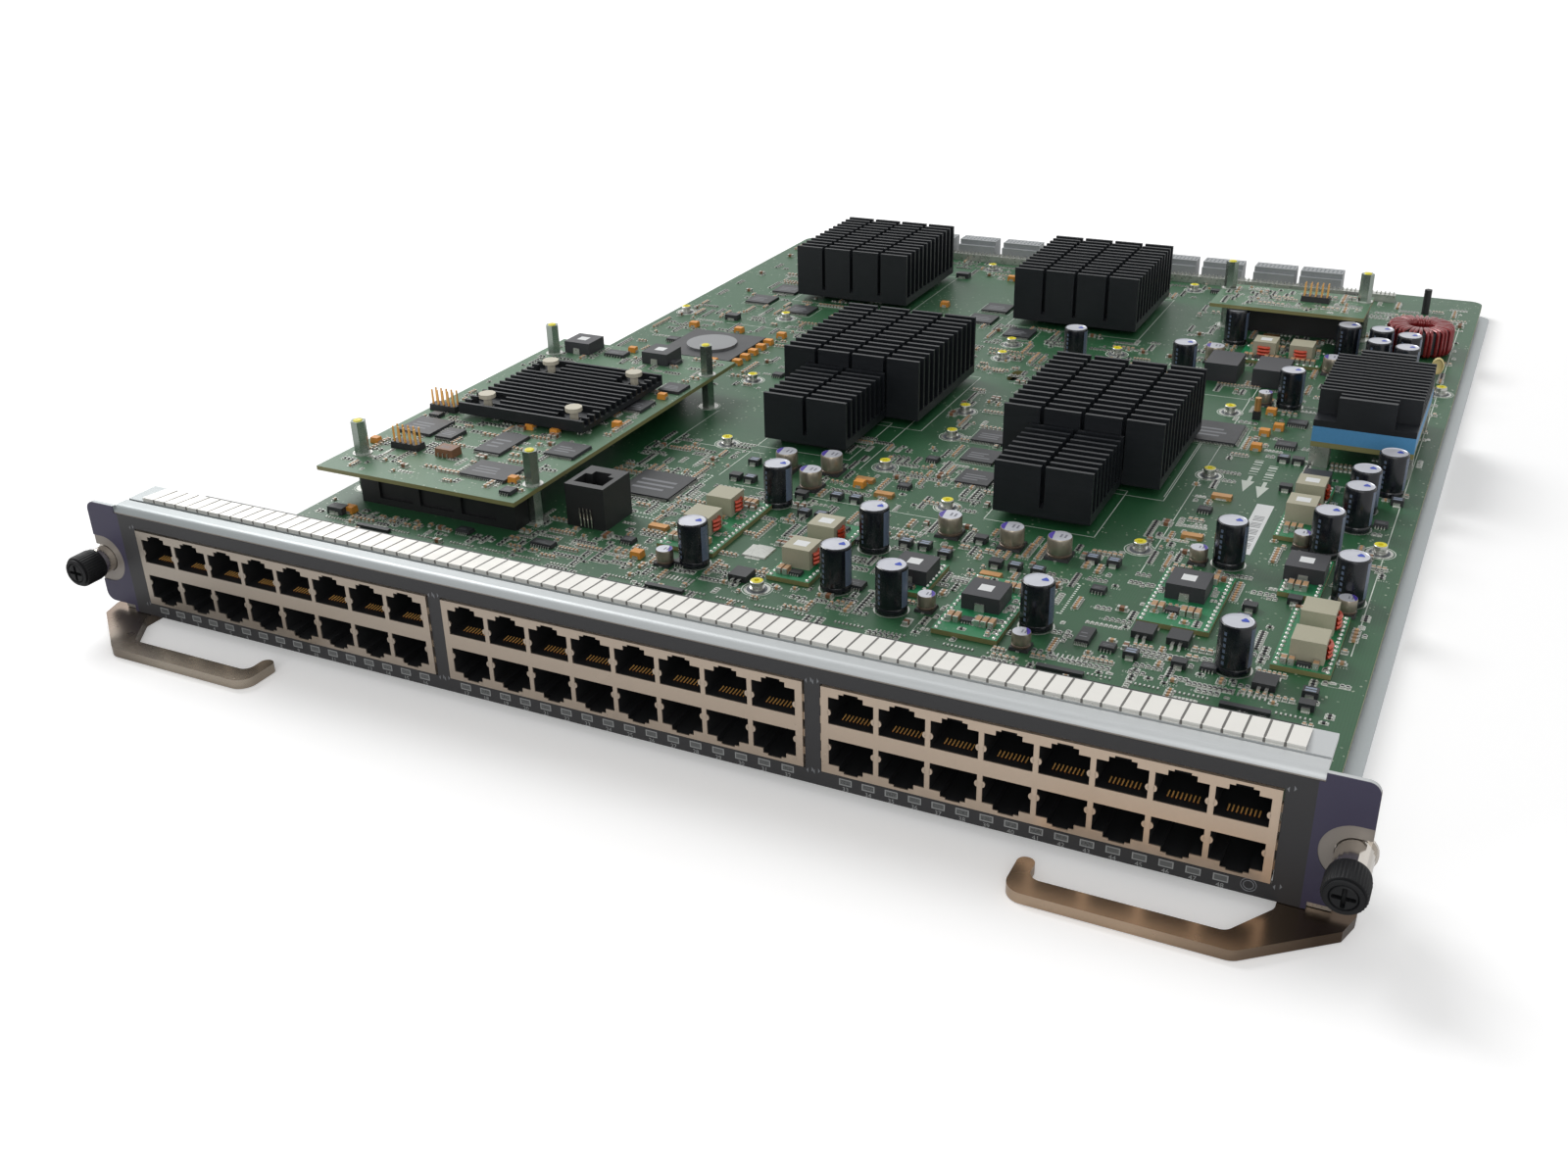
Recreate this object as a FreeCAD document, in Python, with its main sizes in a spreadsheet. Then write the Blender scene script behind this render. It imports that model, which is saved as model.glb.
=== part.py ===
"""Switch line card with 48 RJ45 ports, as a parametric FreeCAD document.

Millimetres. X runs along the front panel, Y goes from the panel's face back to the
backplane connectors, and Z goes up from the underside of the sheet steel tray. The
origin is on that underside, below the middle of the main board.
"""
import FreeCAD, Part
import math
import operator
import os
from types import SimpleNamespace

import Sketcher

# ---------------------------------------------------------------------------
# Driving dimensions: alias, millimetres
# ---------------------------------------------------------------------------
SIZES = (
    # tray under the board
    ("tray_margin", 4.5), ("tray_setback", 6.0), ("tray_short_of_board", 4.0),
    ("tray_sheet", 1.2), ("tray_corner", 7.0), ("tray_notch_across", 22.0),
    ("tray_notch_along", 18.0), ("board_gap", 3.4), ("nut_flats", 5.5),
    # main board
    ("board_inset", 12.3), ("board_setback", 4.0), ("board_length", 512.0),
    ("board_thickness", 2.4), ("board_corner", 6.0), ("board_notch_across", 10.0),
    ("board_notch_along", 19.0), ("slot_length", 14.0), ("slot_width", 5.0),
    # front panel, an extruded section with a top flange, and its printed film
    ("panel_margin", 20.27), ("panel_lift", 3.4), ("panel_height", 37.4),
    ("panel_sheet", 1.2), ("panel_nose", 2.4), ("ear_width", 11.8), ("ear_lift", 2.2),
    ("ear_corner", 3.0), ("flange_depth", 16.5), ("flange_sheet", 1.6),
    ("groove_setback", 6.0), ("groove_width", 1.0), ("groove_depth", 0.7),
    ("film_sheet", 0.3), ("latch_notch_radius", 4.6), ("notch_rim", 3.4),
    ("latch_height", 21.0), ("latch_inset", 3.3),
    # spring finger gasket on the top flange
    ("finger_pitch", 4.57), ("finger_gap", 0.4), ("finger_reach", 9.2),
    ("finger_rise", 1.1), ("gasket_sheet", 0.3), ("gasket_foot", 0.8),
    ("gasket_inset", 17.6), ("long_strip_share", 67.0), ("strip_gap", 0.6),
    ("gasket_setback", 7.4),
    # RJ45 blocks: metal shield over a black housing
    ("port_pitch", 13.97), ("ports_per_row", 8.0), ("block_gap", 5.28),
    ("shield_margin", 2.74), ("shield_height", 25.8), ("shield_sheet", 0.4),
    ("shield_skirt", 4.0), ("shield_proud", 0.5), ("ports_height", 21.2),
    ("window_clearance", 0.4), ("middle_bar", 4.5), ("port_wall", 1.4),
    ("port_height", 7.9), ("latch_step_width", 6.8), ("latch_step_height", 1.4),
    ("latch_tip_width", 4.0), ("port_depth", 14.0), ("housing_depth", 30.0),
    ("housing_skin", 0.8),
    # light guide bars under the blocks; the last also serves the run lamp
    ("lamp_width", 3.4), ("lamp_height", 1.8), ("lamp_level", 6.2), ("lamp_stand", 0.5),
    ("lamp_clearance", 0.1), ("tight_lamp_squeeze", 0.537), ("tight_lamp_shift", 0.93),
    # ejector levers
    ("lever_sheet", 3.0), ("lever_lift", 0.2), ("pivot_inset", 11.3),
    ("pivot_setback", 9.0), ("pivot_radius", 2.5), ("pivot_clearance", 0.05),
    ("pivot_head_radius", 4.0), ("pivot_head", 1.0), ("head_clearance", 0.2),
    ("lever_hub", 7.0), ("lever_reach", 21.5), ("lever_bar", 6.5),
    ("lever_handle", 67.0), ("lever_grip", 54.5), ("lever_tip", 4.5),
    ("lever_tip_rise", 14.5), ("lever_shoulder", 8.5), ("lever_nose", 10.5),
    ("lever_bend", 5.0), ("lever_finger_bend", 3.0),
    # brackets that carry the lever pivots
    ("bracket_width", 11.0), ("bracket_depth", 16.0), ("bracket_foot", 4.6),
    ("bracket_wall", 2.0), ("bracket_inner", 6.0), ("bracket_tail", 16.0),
    # captive thumbscrews
    ("knob_radius", 5.15), ("knob_length", 8.2), ("knob_front", 16.5),
    ("knob_hollow", 6.2), ("knob_boss_radius", 4.3), ("knob_boss", 0.8),
    ("knob_clearance", 0.4), ("left_screw_pressed", 4.2), ("ferrule_radius", 4.4),
    ("ferrule_length", 9.2), ("ferrule_flange", 5.0), ("ferrule_rim", 1.0),
    ("shank_radius", 2.0), ("shank_clearance", 0.16), ("shank_length", 22.8),
    ("clip_radius", 3.8), ("clip_sheet", 0.8), ("clip_groove", 1.5),
    ("clip_play", 0.2), ("clip_clearance", 0.14),
    # heatsinks: cross cut blocks over the switch chips
    ("sink_width", 60.0), ("sink_depth", 67.0), ("sink_height", 25.0),
    ("small_sink_width", 35.4), ("small_sink_depth", 39.4), ("small_sink_height", 19.0),
    ("sink_spacing", 0.8), ("small_sink_shift", 1.8), ("sink_base", 3.5),
    ("fin_sheet", 1.4), ("fin_pitch", 5.45), ("small_fin_pitch", 4.72),
    ("column_pitch", 15.3), ("column_gap", 1.6), ("switch_chip", 42.0),
    ("small_switch_chip", 27.0),
    ("switch_chip_height", 3.0),
    # processor mezzanine board
    ("mezz_width", 88.0), ("mezz_depth", 165.0), ("mezz_thickness", 1.6),
    ("mezz_gap", 12.4), ("spacer_flats", 5.0), ("spacer_stand", 13.0),
    ("spacer_across", 77.0), ("spacer_back", 19.0), ("spacer_shift_across", 2.0),
    ("spacer_front", 17.0), ("mezz_sink_width", 58.0), ("mezz_sink_depth", 60.0),
    ("mezz_sink_height", 4.5), ("mezz_sink_base", 2.0), ("mezz_fin_sheet", 1.0),
    ("mezz_fin_pitch", 3.9), ("mezz_sink_share", 56.0), ("mezz_sink_shift", 3.6),
    ("mezz_chip", 31.0), ("mezz_chip_height", 2.0), ("pin_across", 40.6),
    ("pin_along", 44.8), ("push_pin_radius", 1.8), ("push_pin_hole", 4.2),
    ("push_pin_head", 3.4), ("push_pin_cap", 1.6), ("push_pin_height", 5.0),
    ("push_pin_pocket", 11.0), ("connector_width", 69.0), ("connector_depth", 8.0),
    ("connector_inset", 6.0), ("connector_pocket", 15.0), ("pocket_spacing", 18.5),
    ("pocket_depth", 1.0), ("pocket_rim", 2.6), ("mezz_choke_inset", 10.0),
    # tall parts on the main board
    ("can_radius", 5.2), ("can_height", 16.0), ("large_polymer_radius", 4.4),
    ("large_polymer_height", 7.6), ("small_polymer_radius", 3.1),
    ("small_polymer_height", 5.6), ("module_board", 1.6), ("choke_side", 10.0),
    ("choke_height", 7.0), ("flat_choke_side", 12.5), ("flat_choke_height", 5.2),
    ("brick_pack_width", 14.0), ("brick_pack_depth", 19.0), ("brick_pack_height", 8.0),
    ("toroid_radius", 14.5), ("toroid_hole", 5.0), ("toroid_height", 13.0),
    ("post_radius", 1.7), ("post_height", 12.0), ("jack_width", 16.0),
    ("jack_depth", 18.0), ("jack_height", 16.0), ("jack_wall", 2.0),
    ("jack_mouth_depth", 11.5), ("header_pitch", 2.54), ("header_base", 2.5),
    ("header_pin", 0.64), ("header_height", 8.5),
    # power brick
    ("brick_width", 36.5), ("brick_depth", 62.0), ("brick_lift", 8.0),
    ("brick_board", 2.0), ("brick_frame", 6.0), ("brick_sink_height", 12.0),
    ("brick_sink_base", 2.5), ("brick_fin_sheet", 1.2), ("brick_fin_pitch", 3.7),
    ("brick_foot", 7.0), ("brick_corner", 8.0),
    # rear daughter board
    ("daughter_width", 68.0), ("daughter_depth", 36.0), ("daughter_thickness", 1.6),
    ("daughter_gap", 16.4), ("daughter_connector_width", 54.0),
    ("daughter_connector_depth", 6.0), ("daughter_connector_back", 8.0),
    ("daughter_spacer_inset", 3.5), ("daughter_spacer_back", 8.0),
    # backplane connectors and flat packages
    ("plug_width", 20.5), ("plug_depth", 11.5), ("plug_height", 10.0),
    ("plug_step", 2.5), ("plug_set_back", 0.6),
    ("pin_rail_depth", 4.5), ("pin_rail_height", 3.6), ("flat_chip", 13.0),
    ("flat_chip_height", 1.2), ("processor_side", 38.0), ("processor_height", 1.4),
    ("lid_radius", 12.0), ("lid_height", 1.1), ("logic_side", 22.0),
    ("package_width", 4.4), ("package_depth", 3.4), ("package_height", 2.3),
    ("transistor_width", 6.6), ("transistor_depth", 7.0), ("transistor_height", 2.3),
    # board screws
    ("screw_head_radius", 2.6), ("screw_head", 2.6), ("screw_radius", 1.4),
    ("screw_hole_radius", 1.75), ("screw_length", 5.0),
)

# Widths that follow from the ports: block, panel, board and tray
FORMULAS = (
    ("shield_width", "ports_per_row * port_pitch + shield_margin"),
    ("block_pitch", "shield_width + block_gap"),
    ("panel_width", "2 * block_pitch + shield_width + 2 * panel_margin"),
    ("board_width", "panel_width - 2 * board_inset"),
    ("tray_width", "board_width + 2 * tray_margin"),
    ("gasket_length", "panel_width - 2 * gasket_inset"),
)

# Places on the main board: hundredths of its half width, then of its length
SINK_PLACES = ((-56.6, 83.0), (6.2, 83.0), (-20.8, 53.7), (36.8, 47.5))
MEMORY_PLACES = ((12.4, 47.3), (14.1, 43.2), (17.2, 39.0), (-81.5, 74.6), (-79.0, 78.9),
                 (-67.0, 72.8), (-18.6, 76.6), (-18.0, 80.5), (-5.5, 73.6))
CAN_PLACES = ((-16.5, 18.4), (-14.5, 29.4), (11.3, 18.8), (11.0, 25.2), (23.3, 17.5),
              (47.6, 19.0), (71.6, 32.1), (80.1, 18.5), (93.0, 29.7), (86.4, 36.1),
              (89.8, 41.0), (89.7, 44.3), (93.4, 48.0), (13.7, 67.9), (40.5, 67.4),
              (46.4, 78.6), (67.0, 63.4), (73.5, 77.4), (81.1, 77.2), (81.6, 73.7),
              (87.6, 76.2), (88.1, 72.8))
LARGE_POLYMER_PLACES = ((-20.7, 35.4), (-11.5, 36.2), (-12.0, 32.9), (21.6, 29.3),
                        (33.9, 29.1), (43.1, 28.9), (44.9, 72.5), (72.2, 73.0))
SMALL_POLYMER_PLACES = ((-21.4, 17.6), (28.7, 18.4), (47.6, 16.1), (66.5, 31.6),
                        (82.2, 36.5), (93.4, 28.0), (61.8, 63.1))
SCREW_PLACES = ((-39.0, 38.3), (-1.3, 16.7), (-2.4, 38.6), (4.1, 46.5), (1.4, 52.2),
                (-3.4, 66.4), (-4.7, 70.4), (55.7, 32.0), (59.6, 46.4), (55.8, 60.2),
                (-67.9, 70.0), (-32.7, 94.1), (26.5, 94.1), (21.8, 71.3), (-96.1, 68.4),
                (95.4, 37.6), (96.9, 71.1), (16.7, 33.5), (-53.0, 52.5))
LOGIC_PLACES = ((-41.1, 28.7), (55.0, 55.0))
PROCESSOR_PLACE = (-74.6, 59.4)
JACK_PLACE = (-43.2, 22.1)
TOROID_PLACE = (88.6, 82.4)
BRICK_PLACE = (86.5, 57.2)
POST_PLACE = (87.0, 94.1)
SLOT_PLACE = (3.8, 62.3)
MEZZANINE_PLACE = (-76.2, 32.9)
DAUGHTER_PLACE = (57.8, 81.8)
PLUG_PLACES = (-54.6, -41.4, -27.8, 18.6, 31.6, 45.9, 58.4)
PIN_RAIL_ENDS = ((-60.5, -21.8), (12.6, 78.5))

# Power modules: place, then width and depth in hundredths of the board's own
MODULES = ((-20.5, 24.0, 11.9, 8.8), (2.6, 22.8, 8.4, 9.2), (22.6, 21.9, 8.4, 4.6),
           (38.1, 19.7, 11.4, 8.0), (68.4, 25.6, 12.0, 7.8), (85.2, 31.6, 7.0, 5.6),
           (89.9, 23.2, 9.2, 7.6), (80.3, 42.0, 7.0, 9.8), (59.6, 75.3, 19.4, 4.2))
CHOKE_PLACES = ((-21.7, 26.3), (-21.3, 22.8), (2.0, 24.7), (2.1, 20.8), (90.1, 25.1),
                (90.3, 21.3), (80.2, 44.3), (80.2, 40.6), (55.5, 75.3), (64.1, 75.3))
FLAT_CHOKE_PLACES = ((22.8, 21.9), (37.8, 20.1), (68.1, 26.4), (85.1, 31.8))
BLACK_MODULE_PLACES = ((49.2, 69.2), (60.4, 69.0))
DAUGHTER_HEADER = (63.2, 82.2)

# Places on the mezzanine board, in shares of its width and depth
MEZZ_CHOKES_ACROSS = (-0.3, 0.15)
MEZZ_HEADERS = ((-0.41, 0.41), (-0.27, 0.17))
HEADER_COLUMNS = 5
HEADER_ROWS = 2
BLOCK_NAMES = ("left", "middle", "right")

# Small packages: transistors in pairs beside the modules, diodes and drivers
TRANSISTOR_PLACES = ((-5.9, 17.8), (64.6, 20.6), (70.4, 20.6), (85.7, 17.4))
PACKAGE_PLACES = ((-28.1, 32.3), (-24.8, 32.3), (-28.2, 35.4), (-4.8, 31.8), (-0.8, 31.9),
                  (-7.3, 28.3), (-3.7, 28.3), (-11.6, 31.1), (15.9, 26.5), (19.6, 26.6),
                  (24.2, 25.9), (28.1, 29.0), (34.0, 25.9), (37.6, 25.9), (41.8, 25.9),
                  (49.3, 29.0), (53.2, 29.0), (64.6, 17.6), (72.3, 17.6), (92.5, 17.2),
                  (92.6, 15.8), (71.8, 51.3), (74.7, 51.3), (74.9, 45.8), (78.6, 26.2),
                  (78.5, 24.5), (85.0, 28.2), (-93.5, 15.6), (-46.0, 73.5), (95.6, 46.2))

HALF_PERCENT = 200
PERCENT = 100
OVERCUT = 1.0  # how far a cutting tool reaches past the face that it opens
MATCH = 0.01   # how close two places count as one
FEW_SIDES, MORE_SIDES, KNURL_SIDES = 8, 12, 24
HEX_RISE = 0.866
ALONG_Y = FreeCAD.Rotation(FreeCAD.Vector(1, 0, 0), -90)


class Cell(float):
    """A number that keeps the spreadsheet expression it was worked out by."""

    def __new__(cls, number, text=None):
        cell = super().__new__(cls, number)
        cell.text = repr(float(number)) if text is None else text
        return cell

    def joined(self, other, sign, work, swapped=False):
        other = other if isinstance(other, Cell) else Cell(other)
        left, right = (other, self) if swapped else (self, other)
        number = work(float(left), float(right))
        return Cell(number, f"({left.text} {sign} {right.text})")

    def __add__(self, other):
        return self.joined(other, "+", operator.add)

    def __radd__(self, other):
        return self.joined(other, "+", operator.add, swapped=True)

    def __sub__(self, other):
        return self.joined(other, "-", operator.sub)

    def __rsub__(self, other):
        return self.joined(other, "-", operator.sub, swapped=True)

    def __mul__(self, other):
        return self.joined(other, "*", operator.mul)

    def __rmul__(self, other):
        return self.joined(other, "*", operator.mul, swapped=True)

    def __truediv__(self, other):
        return self.joined(other, "/", operator.truediv)

    def __neg__(self):
        return Cell(0).joined(self, "-", operator.sub)


document = FreeCAD.newDocument("switch_line_card")
sheet = document.addObject("Spreadsheet::Sheet", "sizes")
for row, (alias, number) in enumerate(SIZES, start=1):
    sheet.set(f"A{row}", alias)
    sheet.set(f"B{row}", str(number))
    sheet.setAlias(f"B{row}", alias)
for row, (alias, formula) in enumerate(FORMULAS, start=len(SIZES) + 1):
    sheet.set(f"A{row}", alias)
    sheet.set(f"B{row}", f"={formula}")
    sheet.setAlias(f"B{row}", alias)
    document.recompute()
size = SimpleNamespace(**{alias: Cell(sheet.get(alias), f"sizes.{alias}")
                          for alias, _ in SIZES + FORMULAS})
pieces = []

# Levels and depths that several pieces share
face = -(size.board_setback + size.board_length / 2)
film_back = face + size.film_sheet
board_front = face + size.board_setback
board_back = board_front + size.board_length
board_under = size.tray_sheet + size.board_gap
board_top = board_under + size.board_thickness
panel_top = size.panel_lift + size.panel_height
panel_back = film_back + size.panel_sheet
flange_under = panel_top - size.flange_sheet
mezz_under = board_top + size.mezz_gap
mezz_top = mezz_under + size.mezz_thickness
daughter_under = board_top + size.daughter_gap
daughter_top = daughter_under + size.daughter_thickness
chip_top = board_top + size.switch_chip_height


# ---------------------------------------------------------------------------
# Helpers
# ---------------------------------------------------------------------------
def bind(thing, **formulas):
    """Tie properties to the spreadsheet; a double underscore stands for a dot."""
    for name, cell in formulas.items():
        cell = cell if isinstance(cell, Cell) else Cell(cell)
        thing.setExpression(name.replace("__", "."), cell.text)


def bind_place(thing, x, y, z):
    bind(thing, Placement__Base__x=x, Placement__Base__y=y, Placement__Base__z=z)


def keep(thing, label):
    """Mark an object as a piece of the card, to be checked and written out."""
    thing.Label = label
    pieces.append(thing)
    return thing


def block(name, corner, extent):
    """Part::Box from its lowest corner and its three sides."""
    box = document.addObject("Part::Box", name)
    bind(box, Length=extent[0], Width=extent[1], Height=extent[2])
    bind_place(box, *corner)
    return box


def block_over(name, middle, floor, extent):
    """Part::Box centred on a place in plan, standing on a level."""
    corner = (middle[0] - extent[0] / 2, middle[1] - extent[1] / 2, floor)
    return block(name, corner, extent)


def drum(name, middle, floor, radius, height):
    """Part::Cylinder standing on a level."""
    cylinder = document.addObject("Part::Cylinder", name)
    bind(cylinder, Radius=radius, Height=height)
    bind_place(cylinder, middle[0], middle[1], floor)
    return cylinder


def cut(name, base, tool):
    result = document.addObject("Part::Cut", name)
    result.Base, result.Tool = base, tool
    return result


def fuse(name, parts):
    result = document.addObject("Part::MultiFuse", name)
    result.Shapes = parts
    return result


def group(name, shapes):
    """Separate solids of one kind, kept together as one piece."""
    feature = document.addObject("Part::Feature", name)
    feature.Shape = Part.makeCompound(shapes)
    return feature


def solid_feature(name, shape):
    feature = document.addObject("Part::Feature", name)
    feature.Shape = shape
    return feature


def spot(place):
    """Place on the main board, from hundredths of its half width and its length."""
    across, along = place
    return (size.board_width * (across / HALF_PERCENT),
            board_front + size.board_length * (along / PERCENT))


def box_shape(low, high):
    """Plain box between two corners."""
    extent = [float(b) - float(a) for a, b in zip(low, high)]
    return Part.makeBox(*extent, FreeCAD.Vector(*map(float, low)))


def standing_box(middle, floor, extent):
    low = (middle[0] - extent[0] / 2, middle[1] - extent[1] / 2, floor)
    high = (middle[0] + extent[0] / 2, middle[1] + extent[1] / 2, floor + extent[2])
    return box_shape(low, high)


def standing_drum(middle, floor, radius, height):
    base = FreeCAD.Vector(float(middle[0]), float(middle[1]), float(floor))
    return Part.makeCylinder(float(radius), float(height), base)


def faceted_drum(middle, floor, radius, height, sides):
    """Standing bar with flats, for hexagonal pieces and for small round ones in number."""
    turns = [2 * math.pi * side / sides for side in range(sides + 1)]
    corners = [FreeCAD.Vector(float(middle[0]) + float(radius) * math.cos(turn),
                              float(middle[1]) + float(radius) * math.sin(turn),
                              float(floor)) for turn in turns]
    return Part.Face(Part.makePolygon(corners)).extrude(FreeCAD.Vector(0, 0, float(height)))


def hexagon(middle, floor, flats, height):
    """Hexagonal bar standing on a level; flats is its width over two flats."""
    return faceted_drum(middle, floor, float(flats) / math.sqrt(3), height, 6)


def lying_bar(name, kind, place, start, length, radius, sides=None):
    """Part::Cylinder or Part::Prism along Y, from a depth behind the panel's face."""
    bar = document.addObject(f"Part::{kind}", name)
    bar.Placement = FreeCAD.Placement(FreeCAD.Vector(), ALONG_Y)
    if sides is None:
        bind(bar, Radius=radius, Height=length)
    else:
        bar.Polygon = sides
        bind(bar, Circumradius=radius, Height=length)
    bind_place(bar, place[0], face + start, place[1])
    return bar


def prism(corners, along):
    """Solid from a flat outline, a closed list of points, pushed along a vector."""
    points = [FreeCAD.Vector(*map(float, corner)) for corner in corners]
    face = Part.Face(Part.makePolygon(points + points[:1]))
    return face.extrude(FreeCAD.Vector(*map(float, along)))


def join(shapes):
    """One solid from shapes that touch or overlap, with its seams removed."""
    return shapes[0].multiFuse(list(shapes[1:])).removeSplitter()


def repeats(count, pitch, middle=0.0):
    """Places of a row of copies, centred on a middle."""
    count = int(round(count))
    return [float(middle) + float(pitch) * (index - (count - 1) / 2)
            for index in range(count)]


def origin_plane(body, role):
    return next(item for item in body.Origin.OriginFeatures if item.Role == role)


def new_sketch(body, role, name, lift=None):
    """Sketch on one of the body's own origin planes, raised by a cell if one is given."""
    sketch = body.newObject("Sketcher::SketchObject", name)
    sketch.AttachmentSupport = (origin_plane(body, role), [""])
    sketch.MapMode = "FlatFace"
    if lift is not None:
        bind(sketch, AttachmentOffset__Base__z=lift)
    return sketch


def draw_loop(sketch, corners):
    """Closed outline whose corners are each tied to two cell expressions."""
    points = [FreeCAD.Vector(float(x), float(y), 0) for x, y in corners]
    count = len(points)
    first = sketch.GeometryCount
    for index in range(count):
        end = points[(index + 1) % count]
        sketch.addGeometry(Part.LineSegment(points[index], end), False)
    for index in range(count):
        follower = first + (index + 1) % count
        sketch.addConstraint(Sketcher.Constraint("Coincident", first + index, 2, follower, 1))
    for index, corner in enumerate(corners):
        for kind, cell in zip(("DistanceX", "DistanceY"), corner):
            cell = cell if isinstance(cell, Cell) else Cell(cell)
            mark = sketch.addConstraint(
                Sketcher.Constraint(kind, -1, 1, first + index, 1, float(cell)))
            sketch.setExpression(f"Constraints[{mark}]", cell.text)


def draw_circle(sketch, middle, radius):
    circle = Part.Circle(FreeCAD.Vector(float(middle[0]), float(middle[1]), 0),
                         FreeCAD.Vector(0, 0, 1), float(radius))
    number = sketch.addGeometry(circle, False)
    for kind, cell in zip(("DistanceX", "DistanceY"), middle):
        cell = cell if isinstance(cell, Cell) else Cell(cell)
        mark = sketch.addConstraint(
            Sketcher.Constraint(kind, -1, 1, number, 3, float(cell)))
        sketch.setExpression(f"Constraints[{mark}]", cell.text)
    mark = sketch.addConstraint(Sketcher.Constraint("Radius", number, float(radius)))
    sketch.setExpression(f"Constraints[{mark}]", radius.text)


def pad(body, sketch, name, height):
    feature = body.newObject("PartDesign::Pad", name)
    feature.Profile = sketch
    bind(feature, Length=height)
    return feature


def pocket(body, sketch, name, depth, reverse):
    feature = body.newObject("PartDesign::Pocket", name)
    feature.Profile = sketch
    feature.Reversed = reverse
    bind(feature, Length=depth)
    return feature


def edges_at(feature, places):
    """Names of the upright edges that stand on the given places in plan."""
    names = []
    for number, edge in enumerate(feature.Shape.Edges, start=1):
        ends = [vertex.Point for vertex in edge.Vertexes]
        if len(ends) != 2:
            continue
        for x, y in places:
            if all(math.hypot(end.x - float(x), end.y - float(y)) < MATCH for end in ends):
                names.append(f"Edge{number}")
    return names


def round_edges(body, feature, name, places, radius):
    """Fillet the upright edges of a padded outline at the given places."""
    document.recompute()
    fillet = body.newObject("PartDesign::Fillet", name)
    fillet.Base = (feature, edges_at(feature, places))
    bind(fillet, Radius=radius)
    return fillet


# ---------------------------------------------------------------------------
# Tray and main board
# ---------------------------------------------------------------------------
def make_tray():
    """Flat steel tray, notched at the front corners where the levers swing."""
    half = size.tray_width / 2
    back = board_back - size.tray_short_of_board
    waist = half - size.tray_notch_across
    front = face + size.tray_setback
    step = front + size.tray_notch_along
    body = document.addObject("PartDesign::Body", "tray")
    sketch = new_sketch(body, "XY_Plane", "tray_outline")
    draw_loop(sketch, ((-waist, front), (waist, front), (waist, step),
                       (half, step), (half, back), (-half, back), (-half, step),
                       (-waist, step)))
    plate = pad(body, sketch, "tray_plate", size.tray_sheet)
    round_edges(body, plate, "tray_corners", ((half, back), (-half, back)), size.tray_corner)
    keep(body, "tray")


def make_board_nuts():
    """Pressed hexagonal spacers that hold the board off the tray, one at each screw."""
    nuts = []
    for place in SCREW_PLACES:
        middle = spot(place)
        nut = hexagon(middle, size.tray_sheet, size.nut_flats, size.board_gap)
        nuts.append(nut.cut(faceted_drum(middle, size.tray_sheet, size.screw_radius,
                                         size.board_gap, 6)))
    keep(group("board_spacers", nuts), "board_spacers")


def make_main_board():
    """Bare board with rounded rear corners, front notches, screw holes and a slot."""
    half = size.board_width / 2
    waist = half - size.board_notch_across
    step = board_front + size.board_notch_along
    body = document.addObject("PartDesign::Body", "main_board")
    sketch = new_sketch(body, "XY_Plane", "board_outline", board_under)
    draw_loop(sketch, ((-waist, board_front), (waist, board_front),
                       (waist, step), (half, step), (half, board_back),
                       (-half, board_back), (-half, step), (-waist, step)))
    plate = pad(body, sketch, "board_plate", size.board_thickness)
    round_edges(body, plate, "board_corners", ((half, board_back), (-half, board_back)),
                size.board_corner)
    holes = new_sketch(body, "XY_Plane", "screw_holes", board_under)
    reach = size.screw_hole_radius
    for place in SCREW_PLACES:
        x, y = spot(place)
        draw_loop(holes, ((x + reach, y), (x + reach / 2, y + reach * HEX_RISE),
                          (x - reach / 2, y + reach * HEX_RISE), (x - reach, y),
                          (x - reach / 2, y - reach * HEX_RISE),
                          (x + reach / 2, y - reach * HEX_RISE)))
    pocket(body, holes, "screw_hole_cuts", size.board_thickness, reverse=True)
    slot = new_sketch(body, "XY_Plane", "slot_outline", board_under)
    x, y = spot(SLOT_PLACE)
    reach, breadth = size.slot_width / 2, size.slot_length / 2
    draw_loop(slot, ((x - reach / 2, y - breadth), (x + reach / 2, y - breadth),
                     (x + reach, y - breadth + reach), (x + reach, y + breadth - reach),
                     (x + reach / 2, y + breadth), (x - reach / 2, y + breadth),
                     (x - reach, y + breadth - reach), (x - reach, y - breadth + reach)))
    pocket(body, slot, "slot_cut", size.board_thickness, reverse=True)
    keep(body, "main_board")


def make_board_screws():
    """Cylinder head screws through the board into the spacers."""
    screws = []
    for place in SCREW_PLACES:
        middle = spot(place)
        head = faceted_drum(middle, board_top, size.screw_head_radius, size.screw_head,
                            FEW_SIDES)
        shank = faceted_drum(middle, board_top - size.screw_length, size.screw_radius,
                             size.screw_length, 6)
        screws.append(head.fuse(shank))
    keep(group("board_screws", screws), "board_screws")


# ---------------------------------------------------------------------------
# Front panel
# ---------------------------------------------------------------------------
def block_middles():
    return repeats(len(BLOCK_NAMES), size.block_pitch)


def window_shape(middle, front, back):
    """Box that clears one RJ45 block through the panel."""
    half = size.shield_width / 2 + size.window_clearance
    rise = size.shield_height / 2 + size.window_clearance
    return box_shape((middle - half, front, size.ports_height - rise),
                     (middle + half, back, size.ports_height + rise))


def latch_notch(side, radius, front, back):
    """Notch for a thumbscrew, round inside and open to the panel's end."""
    x = side * (size.panel_width / 2 - size.latch_inset)
    turn = FreeCAD.Vector(0, 1, 0)
    base = FreeCAD.Vector(float(x), float(front), float(size.latch_height))
    hole = Part.makeCylinder(float(radius), float(back - front), base, turn)
    outer = side * (size.panel_width / 2 + OVERCUT)
    low, high = sorted((float(x), float(outer)))
    mouth = box_shape((low, front, size.latch_height - radius),
                      (high, back, size.latch_height + radius))
    return hole.fuse(mouth)


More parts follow.
